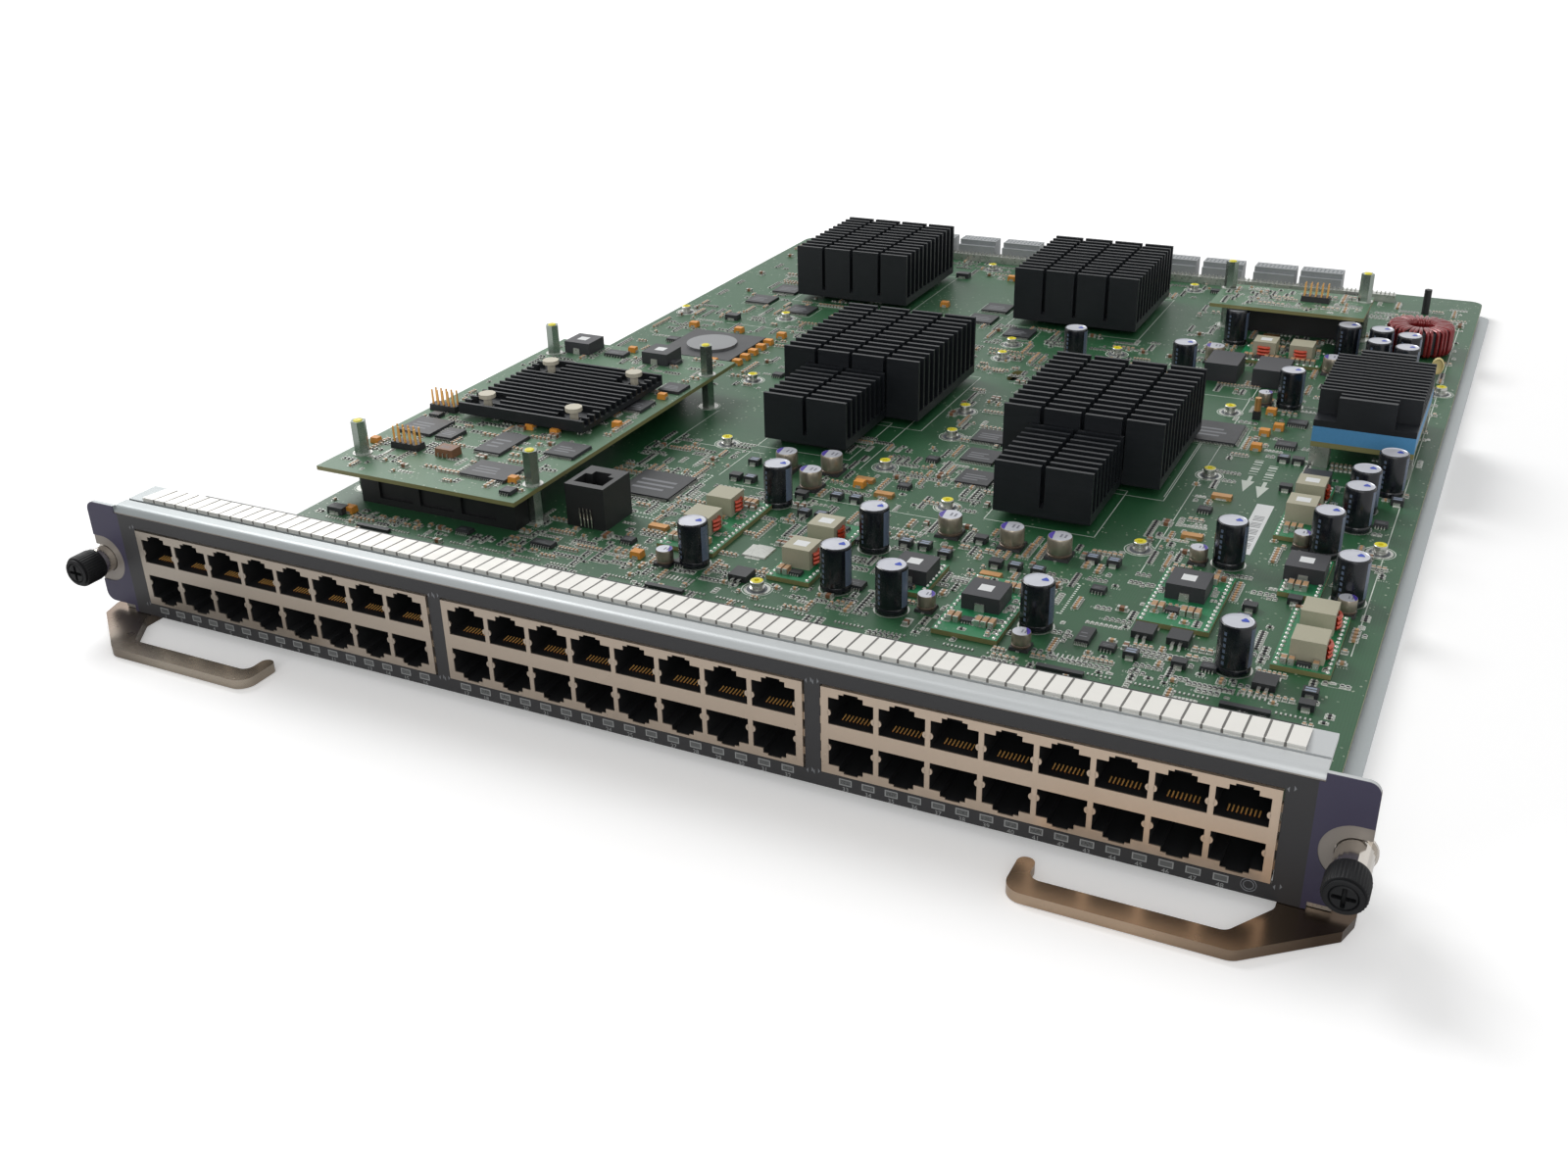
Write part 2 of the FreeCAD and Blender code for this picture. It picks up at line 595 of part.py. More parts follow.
def panel_ears(front, back):
    """Plate with rounded ends, shorter at the foot than the middle of the panel."""
    half = size.panel_width / 2
    plate = box_shape((-half, front, size.panel_lift + size.ear_lift),
                      (half, back, panel_top))
    upright = [edge for edge in plate.Edges
               if abs(edge.tangentAt(edge.FirstParameter).y) > 0.99]
    return plate.makeFillet(float(size.ear_corner), upright)


def panel_middle(front, back, top):
    """Full height part of the panel between its two ears."""
    half = size.panel_width / 2 - size.ear_width
    return box_shape((-half, front, size.panel_lift), (half, back, top))


def lamp_rows():
    """One lamp for each port; the last row is closer set and ends with the run lamp."""
    count, pitch = 2 * size.ports_per_row, size.port_pitch / 2
    first, second, last = block_middles()
    rows = [repeats(count, pitch, middle) for middle in (first, second)]
    rows.append(repeats(count + 1, pitch - size.tight_lamp_squeeze,
                        last + size.tight_lamp_shift))
    return rows


def lamp_bars(front, back, clearance=0.0):
    """Flat bars behind the lamps of each row, or the slots that clear them."""
    reach = size.lamp_width / 2 + clearance
    rise = size.lamp_height / 2 + clearance
    return [box_shape((row[0] - reach, front, size.lamp_level - rise),
                      (row[-1] + reach, back, size.lamp_level + rise))
            for row in lamp_rows()]


def make_front_panel():
    """Extruded panel: face, top flange with its groove, port windows and lamp slots."""
    half = size.panel_width / 2 - size.ear_width
    plate = panel_middle(film_back, panel_back, panel_top)
    flange = box_shape((-half, film_back, flange_under),
                       (half, panel_back + size.flange_depth, panel_top))
    body = join([plate, flange])
    nose = [edge for edge in body.Edges
            if abs(edge.BoundBox.YMax - film_back) < MATCH
            and abs(edge.BoundBox.ZMin - panel_top) < MATCH and edge.Length > half]
    body = body.makeFillet(float(size.panel_nose), nose)
    ears = panel_ears(film_back, panel_back)
    ears = ears.cut(box_shape((-half, face, 0),
                              (half, panel_back + OVERCUT, panel_top + OVERCUT)))
    body = body.fuse(ears)
    tools = [window_shape(middle, face, panel_back) for middle in block_middles()]
    tools += lamp_bars(face, panel_back, size.lamp_clearance)
    tools += [latch_notch(side, size.latch_notch_radius, face, panel_back)
              for side in (-1, 1)]
    groove = face + size.groove_setback
    tools.append(box_shape((-half - OVERCUT, groove, panel_top - size.groove_depth),
                           (half + OVERCUT, groove + size.groove_width,
                            panel_top + OVERCUT)))
    keep(solid_feature("front_panel", body.cut(tools)), "front_panel")


def make_panel_film():
    """Printed film on the face; it leaves a bare rim round each thumbscrew notch."""
    middle = panel_middle(face, film_back, panel_top - size.panel_nose)
    ears = panel_ears(face, film_back)
    half = size.panel_width / 2 - size.ear_width
    ears = ears.cut(box_shape((-half, face, 0), (half, film_back, panel_top + OVERCUT)))
    film = middle.fuse(ears)
    tools = [window_shape(middle, face, film_back) for middle in block_middles()]
    tools += [latch_notch(side, size.latch_notch_radius + size.notch_rim, face, film_back)
              for side in (-1, 1)]
    keep(solid_feature("panel_film", film.cut(tools)), "panel_film")


def make_lamp_bars():
    """Clear light guides: one bar for each row of lamps, set in its slot."""
    guides = lamp_bars(film_back, panel_back + size.lamp_stand)
    keep(group("light_guides", guides), "light_guides")


def make_gasket():
    """Two strips of spring fingers: each stands up in front and slopes to the rear."""
    total = size.gasket_length
    start = -total / 2
    long_strip = (total - size.strip_gap) * (size.long_strip_share / PERCENT)
    short_strip = total - size.strip_gap - long_strip
    spans = ((start, long_strip), (start + long_strip + size.strip_gap, short_strip))
    front = face + size.gasket_setback
    fold = front + size.finger_reach
    back = fold + size.gasket_foot
    level, gauge = panel_top, size.gasket_sheet
    crest = level + size.finger_rise
    profile = ((front, level), (front + gauge, level), (front + gauge, crest - gauge),
               (back, level), (back, level + gauge), (front, crest))
    strips = []
    for left, length in spans:
        strip = prism([(left, y, z) for y, z in profile], (length, 0, 0))
        count = int(float(length) / float(size.finger_pitch))
        pitch = length / count
        gaps = [box_shape((left + pitch * number, front - OVERCUT, level - OVERCUT),
                          (left + pitch * number + size.finger_gap, fold,
                           crest + OVERCUT)) for number in range(1, count)]
        strips.append(strip.cut(gaps))
    keep(group("gasket_strips", strips), "gasket_strips")


# ---------------------------------------------------------------------------
# RJ45 blocks
# ---------------------------------------------------------------------------
def port_outline(middle, row, depth, steps=2):
    """Port opening: a wide mouth by the middle bar, then one or two steps for the latch."""
    mouth = (size.port_pitch - size.port_wall) / 2
    step, tip = size.latch_step_width / 2, size.latch_tip_width / 2
    base = size.middle_bar / 2
    shoulder = base + size.port_height
    ledge = shoulder + size.latch_step_height
    crown = size.shield_height / 2 - size.housing_skin
    half_outline = ((mouth, base), (mouth, shoulder), (step, shoulder), (step, ledge),
                    (tip, ledge), (tip, crown))
    if steps == 1:
        half_outline = half_outline[:3] + ((step, crown),)
    right = [(middle + across, depth, size.ports_height + row * rise)
             for across, rise in half_outline]
    left = [(middle - across, depth, size.ports_height + row * rise)
            for across, rise in reversed(half_outline)]
    return right + left


def make_jack_blocks():
    """Three stamped shields, each over a black housing with sixteen port cavities."""
    front = face - size.shield_proud
    face_back = front + size.shield_sheet
    half = size.shield_width / 2
    rise = size.shield_height / 2
    for name, block_middle in zip(BLOCK_NAMES, block_middles()):
        outer = box_shape((block_middle - half, front, size.ports_height - rise),
                          (block_middle + half, front + size.shield_skirt,
                           size.ports_height + rise))
        skin = size.shield_sheet
        inner = box_shape((block_middle - half + skin, face_back,
                           size.ports_height - rise + skin),
                          (block_middle + half - skin, front + size.shield_skirt,
                           size.ports_height + rise - skin))
        shield = outer.cut(inner)
        nose = inner.copy()
        rear = box_shape((block_middle - half + skin, front + size.shield_skirt,
                          board_top),
                         (block_middle + half - skin, face_back + size.housing_depth,
                          size.ports_height + rise))
        housing = nose.fuse(rear).removeSplitter()
        holes, cavities = [], []
        for middle in repeats(size.ports_per_row, size.port_pitch, block_middle):
            for row in (-1, 1):
                holes.append(prism(port_outline(middle, row, front - OVERCUT),
                                   (0, size.shield_skirt, 0)))
                cavities.append(prism(port_outline(middle, row, face_back, steps=1),
                                      (0, size.port_depth, 0)))
        keep(solid_feature(f"jack_shield_{name}", shield.cut(holes)), f"jack_shield_{name}")
        keep(solid_feature(f"jack_housing_{name}", housing.cut(cavities)),
             f"jack_housing_{name}")


# ---------------------------------------------------------------------------
# Ejector levers, their brackets and pivots
# ---------------------------------------------------------------------------
def pivot_place(side):
    return side * (size.panel_width / 2 - size.pivot_inset), face + size.pivot_setback


def make_lever(side, name):
    """Nickel plated lever: a hub, a nose that pries on the chassis and an open handle."""
    x, y = pivot_place(side)
    outer = face - size.lever_reach
    inner = outer + size.lever_bar
    tip = x - side * size.lever_handle
    tip_inner = tip + side * size.lever_tip
    root = tip + side * size.lever_grip
    shoulder = x + side * size.lever_shoulder
    nose = x + side * size.lever_nose
    hub = size.lever_hub
    outline = ((tip, outer), (root, outer), (shoulder, y - hub - size.lever_bar),
               (nose, y - hub), (nose, y - hub / 2), (x + side * hub, y),
               (x + side * hub, y + hub), (x - side * hub, y + hub), (x - side * hub, y - hub - size.lever_tip),
               (root - side * size.lever_finger_bend, inner), (tip_inner, inner),
               (tip_inner, outer + size.lever_tip_rise), (tip, outer + size.lever_tip_rise))
    if side < 0:
        outline = tuple(reversed(outline))
    body = document.addObject("PartDesign::Body", name)
    sketch = new_sketch(body, "XY_Plane", f"{name}_outline", size.lever_lift)
    draw_loop(sketch, outline)
    plate = pad(body, sketch, f"{name}_plate", size.lever_sheet)
    last = round_edges(body, plate, f"{name}_bends", ((tip, outer), (root, outer)),
                       size.lever_bend)
    last = round_edges(body, last, f"{name}_hub_ends",
                       ((x + side * hub, y + hub), (x - side * hub, y + hub)),
                       hub - size.pivot_clearance)
    last = round_edges(body, last, f"{name}_finger_bends",
                       ((tip_inner, inner), (root - side * size.lever_finger_bend, inner),
                        (x - side * hub, y - hub - size.lever_tip)),
                       size.lever_finger_bend)
    round_edges(body, last, f"{name}_tip_ends",
                ((tip_inner, outer + size.lever_tip_rise),
                 (tip, outer + size.lever_tip_rise)),
                size.lever_tip / 2 - size.pivot_clearance)
    bore = new_sketch(body, "XY_Plane", f"{name}_bore", size.lever_lift)
    draw_circle(bore, (x, y), size.pivot_radius + size.pivot_clearance)
    pocket(body, bore, f"{name}_bore_cut", size.lever_sheet, reverse=True)
    seat = new_sketch(body, "XY_Plane", f"{name}_seat", size.lever_lift)
    draw_circle(seat, (x, y), size.pivot_head_radius + size.head_clearance)
    pocket(body, seat, f"{name}_seat_cut", size.pivot_head + size.head_clearance,
           reverse=True)
    keep(body, name)


def make_bracket(side, name):
    """Bracket behind a panel ear: a foot for the pivot, a wall, and a tail on the board."""
    x, y = pivot_place(side)
    near = x - side * size.bracket_inner
    low = min(near, near + side * size.bracket_width)
    inner = min(near, near + side * size.bracket_wall)
    tail_start = min(near, side * size.board_width / 2)
    tail_width = size.board_width / 2 - (size.panel_width / 2 - size.pivot_inset
                                         - size.bracket_inner)
    foot = block(f"{name}_foot", (low, panel_back, size.panel_lift),
                 (size.bracket_width, size.bracket_depth, size.bracket_foot))
    wall = block(f"{name}_wall", (inner, panel_back, size.panel_lift),
                 (size.bracket_wall, size.bracket_depth, flange_under - size.panel_lift))
    tail = block(f"{name}_tail", (tail_start, panel_back, board_top),
                 (tail_width, size.bracket_depth + size.bracket_tail, size.bracket_wall))
    hole = drum(f"{name}_hole", (x, y), size.panel_lift, size.pivot_radius,
                size.bracket_foot)
    solid = fuse(f"{name}_solid", [foot, wall, tail])
    keep(cut(name, solid, hole), name)


def make_pivots():
    """Headed pins pressed into the brackets; each head sits in its lever's seat."""
    pins = []
    for side in (-1, 1):
        middle = pivot_place(side)
        head = faceted_drum(middle, size.lever_lift, size.pivot_head_radius,
                            size.pivot_head, MORE_SIDES)
        top = size.panel_lift + size.bracket_foot
        pins.append(head.fuse(standing_drum(middle, size.lever_lift, size.pivot_radius,
                                            top - size.lever_lift)))
    keep(group("lever_pivots", pins), "lever_pivots")


# ---------------------------------------------------------------------------
# Captive thumbscrews
# ---------------------------------------------------------------------------
def make_ferrule(name, place):
    """Sleeve riveted into the panel's notch; the screw's knob slides over its front."""
    lip = size.film_sheet + size.panel_sheet
    length = size.ferrule_length + lip + size.ferrule_rim
    sleeve = lying_bar(f"{name}_sleeve", "Prism", place, -size.ferrule_length, length,
                       size.ferrule_radius, KNURL_SIDES)
    flange = lying_bar(f"{name}_flange", "Prism", place, lip, size.ferrule_rim,
                       size.ferrule_flange, KNURL_SIDES)
    bore = lying_bar(f"{name}_bore", "Prism", place, -size.ferrule_length, length,
                     size.shank_radius + size.shank_clearance, MORE_SIDES)
    keep(cut(name, fuse(f"{name}_outer", [sleeve, flange]), bore), name)
    return lip + size.ferrule_rim


def make_screw(name, place, pressed, neck_start, neck_length):
    """Knob with flats for its knurl, hollow at the back, on a shank with a clip groove."""
    front = pressed - size.knob_front
    knob_start = front + size.knob_boss
    knob_back = front + size.knob_length
    hollow = knob_back - size.knob_hollow
    neck_end = neck_start + neck_length
    end = knob_back + size.shank_length
    boss = lying_bar(f"{name}_boss", "Prism", place, front, size.knob_boss,
                     size.knob_boss_radius, KNURL_SIDES)
    rim = lying_bar(f"{name}_rim", "Prism", place, knob_start,
                    size.knob_length - size.knob_boss, size.knob_radius, KNURL_SIDES)
    cavity = lying_bar(f"{name}_cavity", "Prism", place, hollow, size.knob_hollow,
                       size.ferrule_radius + size.knob_clearance, KNURL_SIDES)
    shank = lying_bar(f"{name}_shank", "Cylinder", place, hollow, neck_start - hollow,
                      size.shank_radius)
    neck = lying_bar(f"{name}_neck", "Cylinder", place, neck_start, neck_length,
                     size.clip_groove)
    thread = lying_bar(f"{name}_thread", "Cylinder", place, neck_end, end - neck_end,
                       size.shank_radius)
    knob = cut(f"{name}_knob", fuse(f"{name}_head", [boss, rim]), cavity)
    keep(fuse(name, [knob, shank, neck, thread]), name)


def make_thumbscrews():
    """Captive screws, each held in its ferrule by a retaining clip; the left one is in."""
    for side, name in ((-1, "left"), (1, "right")):
        place = (side * (size.panel_width / 2 - size.latch_inset), size.latch_height)
        pressed = size.left_screw_pressed if side < 0 else Cell(0)
        ferrule_back = make_ferrule(f"thumbscrew_ferrule_{name}", place)
        neck_start = ferrule_back + size.clip_play + pressed
        make_screw(f"thumbscrew_{name}", place, pressed, neck_start,
                   size.clip_sheet + size.clip_play)
        start = neck_start + size.clip_play / 2
        plate = lying_bar(f"clip_plate_{name}", "Prism", place, start, size.clip_sheet,
                          size.clip_radius, 6)
        hole = lying_bar(f"clip_hole_{name}", "Prism", place, start, size.clip_sheet,
                         size.clip_groove + size.clip_clearance, FEW_SIDES)
        keep(cut(f"retaining_clip_{name}", plate, hole), f"retaining_clip_{name}")


# ---------------------------------------------------------------------------
# Heatsinks and chips
# ---------------------------------------------------------------------------
def finned_block(middle, floor, extent, base, fin, pitch, columns):
    """Block sawn across into fins that run along X, then cut into columns."""
    width, depth, height = extent
    body = standing_box(middle, floor, extent)
    low, high = floor + base, floor + height + OVERCUT
    count = int((float(depth) - float(fin)) / float(pitch))
    spread = (float(depth) - count * float(pitch) - float(fin)) / 2
    first = float(middle[1] - depth / 2) + spread + float(fin)
    grooves = [box_shape((middle[0] - width, first + pitch * number, low),
                         (middle[0] + width, first + pitch * (number + 1) - fin, high))
               for number in range(count)]
    grooves += [box_shape((x - size.column_gap / 2, middle[1] - depth, low),
                          (x + size.column_gap / 2, middle[1] + depth, high))
                for x in columns]
    return body.cut(grooves)


def small_sink_middles():
    """Each small heatsink stands just before one of the two centre ones."""
    reach = size.sink_depth / 2 + size.sink_spacing + size.small_sink_depth / 2
    places = [spot(place) for place in SINK_PLACES[2:]]
    return [(x - size.small_sink_shift, y - reach) for x, y in places]


def make_heatsinks():
    """Four large and two small cross cut heatsinks over the switch chips."""
    names = ("rear_left", "rear_right", "centre_left", "centre_right")
    extent = (size.sink_width, size.sink_depth, size.sink_height)
    for name, place in zip(names, SINK_PLACES):
        middle = spot(place)
        columns = repeats(3, size.column_pitch, middle[0])
        shape = finned_block(middle, chip_top, extent, size.sink_base, size.fin_sheet,
                             size.fin_pitch, columns)
        keep(solid_feature(f"heatsink_{name}", shape), f"heatsink_{name}")
    extent = (size.small_sink_width, size.small_sink_depth, size.small_sink_height)
    for name, middle in zip(("left", "right"), small_sink_middles()):
        shape = finned_block(middle, chip_top, extent, size.sink_base, size.fin_sheet,
                             size.small_fin_pitch, [float(middle[0])])
        keep(solid_feature(f"small_heatsink_{name}", shape), f"small_heatsink_{name}")


def flat_group(name, places, width, depth, height, floor=None):
    """Flat packages of one size, each standing on the board."""
    floor = board_top if floor is None else floor
    shapes = [standing_box(spot(place), floor, (width, depth, height)) for place in places]
    keep(group(name, shapes), name)


def make_chips():
    """Chips under the heatsinks, memories, the processor and small packages."""
    chips = [standing_box(spot(place), board_top,
                          (size.switch_chip, size.switch_chip, size.switch_chip_height))
             for place in SINK_PLACES]
    chips += [standing_box(middle, board_top,
                           (size.small_switch_chip, size.small_switch_chip,
                            size.switch_chip_height)) for middle in small_sink_middles()]
    chips.append(standing_box(mezz_sink_middle(), mezz_top,
                              (size.mezz_chip, size.mezz_chip, size.mezz_chip_height)))
    keep(group("heatsink_chips", chips), "heatsink_chips")
    flats = [standing_box(spot(place), board_top, (side, side, size.flat_chip_height))
             for places, side in ((MEMORY_PLACES, size.flat_chip),
                                  (LOGIC_PLACES, size.logic_side))
             for place in places]
    keep(group("flat_chips", flats), "flat_chips")
    middle = spot(PROCESSOR_PLACE)
    keep(block_over("processor", middle, board_top,
                    (size.processor_side, size.processor_side, size.processor_height)),
         "processor")
    lid = faceted_drum(middle, board_top + size.processor_height, size.lid_radius,
                       size.lid_height, KNURL_SIDES)
    keep(solid_feature("processor_lid", lid), "processor_lid")
    flat_group("power_transistors", TRANSISTOR_PLACES, size.transistor_width,
               size.transistor_depth, size.transistor_height)
    flat_group("diode_packages", PACKAGE_PLACES, size.package_width, size.package_depth,
               size.package_height)


# ---------------------------------------------------------------------------
# Processor mezzanine
# ---------------------------------------------------------------------------
def mezz_point(across, along):
    """Point on the mezzanine: from its middle line, and back from its front edge."""
    x, y = spot(MEZZANINE_PLACE)
    return x + across, y - size.mezz_depth / 2 + along


def mezz_sink_middle():
    return mezz_point(size.mezz_sink_shift,
                      size.mezz_depth * (size.mezz_sink_share / PERCENT))


def mezz_spacer_places():
    return [mezz_point(size.spacer_shift_across + side * size.spacer_across / 2, along)
            for side in (-1, 1)
            for along in (size.spacer_front, size.mezz_depth - size.spacer_back)]


def make_mezzanine():
    """Small board on hexagonal spacers over the main board, with its own parts."""
    middle = spot(MEZZANINE_PLACE)
    keep(block_over("mezzanine_board", middle, mezz_under,
                    (size.mezz_width, size.mezz_depth, size.mezz_thickness)),
         "mezzanine_board")
    centre = mezz_sink_middle()
    sink_floor = mezz_top + size.mezz_chip_height
    pin_places = [(centre[0] + side * size.pin_across / 2,
                   centre[1] + end * size.pin_along / 2)
                  for side in (-1, 1) for end in (-1, 1)]
    body = finned_block(centre, sink_floor,
                        (size.mezz_sink_width, size.mezz_sink_depth, size.mezz_sink_height),
                        size.mezz_sink_base, size.mezz_fin_sheet, size.mezz_fin_pitch, [])
    pocket_extent = (size.push_pin_pocket, size.push_pin_pocket, size.mezz_sink_height)
    tools = [standing_box(place, sink_floor + size.mezz_sink_base, pocket_extent)
             for place in pin_places]
    hole_extent = (size.push_pin_hole, size.push_pin_hole, size.mezz_sink_base)
    tools += [standing_box(place, sink_floor, hole_extent) for place in pin_places]
    keep(solid_feature("mezzanine_heatsink", body.cut(tools)), "mezzanine_heatsink")
    seat = sink_floor + size.mezz_sink_base
    pins = []
    for place in pin_places:
        shank = faceted_drum(place, mezz_top, size.push_pin_radius,
                             seat + size.push_pin_height - mezz_top, 6)
        cap = faceted_drum(place, seat + size.push_pin_height - size.push_pin_cap,
                           size.push_pin_head, size.push_pin_cap, MORE_SIDES)
        pins.append(shank.fuse(cap))
    keep(group("push_pins", pins), "push_pins")
    headers = [pin_header(mezz_point(size.mezz_width * across, size.mezz_depth * along),
                          mezz_top) for across, along in MEZZ_HEADERS]
    headers.append(pin_header(spot(DAUGHTER_HEADER), daughter_top))
    keep(group("pin_headers", headers), "pin_headers")


def pin_header(middle, floor):
    """Two rows of five square pins in a plastic base."""
    pitch = size.header_pitch
    base = standing_box(middle, floor, (pitch * HEADER_COLUMNS, pitch * HEADER_ROWS,
                                        size.header_base))
    pins = [standing_box((middle[0] + across, middle[1] + along), floor + size.header_base,
                         (size.header_pin, size.header_pin,
                          size.header_height - size.header_base))
            for across in repeats(HEADER_COLUMNS, pitch)
            for along in repeats(HEADER_ROWS, pitch)]
    return base.multiFuse(pins)


# ---------------------------------------------------------------------------
# Tall parts on the main board
# ---------------------------------------------------------------------------
def make_capacitors():
    """Tall electrolytic cans, and the shorter polymer ones."""
    cans = [faceted_drum(spot(place), board_top, size.can_radius, size.can_height,
                         MORE_SIDES) for place in CAN_PLACES]
    keep(group("electrolytic_cans", cans), "electrolytic_cans")
    polymers = [faceted_drum(spot(place), board_top, radius, height, FEW_SIDES)
                for places, radius, height in (
                    (LARGE_POLYMER_PLACES, size.large_polymer_radius,
                     size.large_polymer_height),
                    (SMALL_POLYMER_PLACES, size.small_polymer_radius,
                     size.small_polymer_height))
                for place in places]
    keep(group("polymer_capacitors", polymers), "polymer_capacitors")


def make_power_modules():
    """Small converter boards soldered flat, with chokes on top."""
    boards = [standing_box(spot((across, along)), board_top,
                           (size.board_width * (width / HALF_PERCENT),
                            size.board_length * (depth / PERCENT), size.module_board))
              for across, along, width, depth in MODULES]
    keep(group("power_module_boards", boards), "power_module_boards")
    top = board_top + size.module_board
    flat_group("beige_chokes", CHOKE_PLACES, size.choke_side, size.choke_side,
               size.choke_height, top)
    extent = (size.flat_choke_side, size.flat_choke_side, size.flat_choke_height)
    chokes = [standing_box(spot(place), top, extent) for place in FLAT_CHOKE_PLACES]
    chokes += [standing_box(mezz_point(size.mezz_width * across,
                                       size.mezz_depth - size.mezz_choke_inset),
                            mezz_top, extent) for across in MEZZ_CHOKES_ACROSS]
    keep(group("flat_chokes", chokes), "flat_chokes")
    flat_group("black_power_modules", BLACK_MODULE_PLACES, size.brick_pack_width,
               size.brick_pack_depth, size.brick_pack_height)


def make_console_jack():
    """Upright RJ45 jack for the console, its mouth facing up."""
    middle = spot(JACK_PLACE)
    shell = block_over("console_shell", middle, board_top,
                       (size.jack_width, size.jack_depth, size.jack_height))
    width = size.jack_width - 2 * size.jack_wall
    mouth = block("console_mouth",
                  (middle[0] - width / 2, middle[1] - size.port_height / 2 - size.jack_wall,
                   board_top + size.jack_height - size.jack_mouth_depth),
                  (width, size.port_height, size.jack_mouth_depth))
    latch = block("console_latch",
                  (middle[0] - size.latch_step_width / 2,
                   middle[1] + size.port_height / 2 - size.jack_wall,
                   board_top + size.jack_height - size.jack_mouth_depth),
                  (size.latch_step_width, size.latch_step_height * 2,
                   size.jack_mouth_depth))
    opening = fuse("console_opening", [mouth, latch])
    keep(cut("console_jack", shell, opening), "console_jack")


def make_toroid_and_post():
    """Wound choke lying flat, and a test post behind it."""
    middle = spot(TOROID_PLACE)
    outer = faceted_drum(middle, board_top, size.toroid_radius, size.toroid_height,
                         KNURL_SIDES)
    hole = faceted_drum(middle, board_top, size.toroid_hole, size.toroid_height,
                        MORE_SIDES)
    keep(solid_feature("toroid_choke", outer.cut(hole)), "toroid_choke")
    post = faceted_drum(spot(POST_PLACE), board_top, size.post_radius, size.post_height,
                        MORE_SIDES)
    keep(solid_feature("test_post", post), "test_post")


def make_power_brick():
    """Converter brick: feet, board, blue frame and a finned plate on top."""
    middle = spot(BRICK_PLACE)
    width, depth = size.brick_width, size.brick_depth
    board_floor = board_top + size.brick_lift
    feet = []
    for side in (-1, 1):
        for end in (-1, 1):
            place = (middle[0] + side * (width - size.brick_foot) / 2,
                     middle[1] + end * (depth - size.brick_foot) / 2)
            feet.append(standing_box(place, board_top, (size.brick_foot, size.brick_foot,
                                                        size.brick_lift)))
    keep(group("brick_feet", feet), "brick_feet")
    keep(block_over("brick_board", middle, board_floor, (width, depth, size.brick_board)),
         "brick_board")
    frame_floor = board_floor + size.brick_board
    keep(block_over("brick_frame", middle, frame_floor, (width, depth, size.brick_frame)),
         "brick_frame")
    sink_floor = frame_floor + size.brick_frame
    shape = finned_block(middle, sink_floor, (width, depth, size.brick_sink_height),
                         size.brick_sink_base, size.brick_fin_sheet, size.brick_fin_pitch,
                         [])
    corner = size.brick_corner
    pockets = []
    for side in (-1, 1):
        for end in (-1, 1):
            place = (middle[0] + side * (width - corner) / 2,
                     middle[1] + end * (depth - corner) / 2)
            pockets.append(standing_box(place, sink_floor + size.brick_sink_base,
                                        (corner, corner, size.brick_sink_height)))
    keep(solid_feature("brick_heatsink", shape.cut(pockets)), "brick_heatsink")


def daughter_spacer_places():
    x, y = spot(DAUGHTER_PLACE)
    reach = size.daughter_width / 2 - size.daughter_spacer_inset
    back = y + size.daughter_depth / 2 - size.daughter_spacer_back
    return [(x - reach, back), (x + reach, back)]


def make_daughter_board():
    """Small rear board, carried like the mezzanine on spacers and a connector."""
    keep(block_over("daughter_board", spot(DAUGHTER_PLACE), daughter_under,
                    (size.daughter_width, size.daughter_depth, size.daughter_thickness)),
         "daughter_board")


def make_hex_spacers():
    """Hexagonal spacers below the two upper boards, and the posts above them."""
    stands = [(place, mezz_top, size.mezz_gap) for place in mezz_spacer_places()]
    stands += [(place, daughter_top, size.daughter_gap)
               for place in daughter_spacer_places()]
    spacers = []
    for place, top, gap in stands:
        spacers.append(hexagon(place, board_top, size.spacer_flats, gap))
        spacers.append(hexagon(place, top, size.spacer_flats, size.spacer_stand))
    keep(group("hex_spacers", spacers), "hex_spacers")


def make_stacking_connectors():
    """Board to board connectors that fill the gap below each upper board."""
    front = mezz_point(size.spacer_flats, size.connector_inset + size.connector_depth / 2)
    rear = mezz_point(size.spacer_flats, size.mezz_depth - size.connector_inset * 2)
    x, back = spot(DAUGHTER_PLACE)
    daughter = (x, back + size.daughter_connector_back)
    shell = standing_box(front, board_top, (size.connector_width, size.connector_depth,
                                            size.mezz_gap))
    outer = front[1] - size.connector_depth / 2
    pockets = [box_shape((x_pocket - size.connector_pocket / 2, outer - OVERCUT,
                          board_top + size.pocket_rim),
                         (x_pocket + size.connector_pocket / 2, outer + size.pocket_depth,
                          mezz_under - size.pocket_rim))
               for x_pocket in repeats(len(BLOCK_NAMES), size.pocket_spacing, front[0])]
    connectors = [
        shell.cut(pockets),
        standing_box(rear, board_top, (size.connector_width / 2, size.connector_depth,
                                       size.mezz_gap)),
        standing_box(daughter, board_top, (size.daughter_connector_width,
                                           size.daughter_connector_depth,
                                           size.daughter_gap))]
    keep(group("stacking_connectors", connectors), "stacking_connectors")


def make_backplane_plugs():
    """Stepped receptacle blocks along the rear edge, with pin rails before them."""
    back = board_back - size.plug_set_back
    front = back - size.plug_depth
    top = board_top + size.plug_height
    plugs = []
    for across in PLUG_PLACES:
        x = spot((across, 0))[0]
        outline = ((x, front, board_top), (x, back, board_top), (x, back, top),
                   (x, front + size.plug_step, top),
                   (x, front + size.plug_step, top - size.plug_step),
                   (x, front, top - size.plug_step))
        outline = [(x - size.plug_width / 2, y, z) for _, y, z in outline]
        plugs.append(prism(outline, (size.plug_width, 0, 0)))
    keep(group("backplane_plugs", plugs), "backplane_plugs")
    rails = [box_shape((spot((start, 0))[0], front - size.pin_rail_depth, board_top),
                       (spot((end, 0))[0], front, board_top + size.pin_rail_height))
             for start, end in PIN_RAIL_ENDS]
    keep(group("pin_rails", rails), "pin_rails")


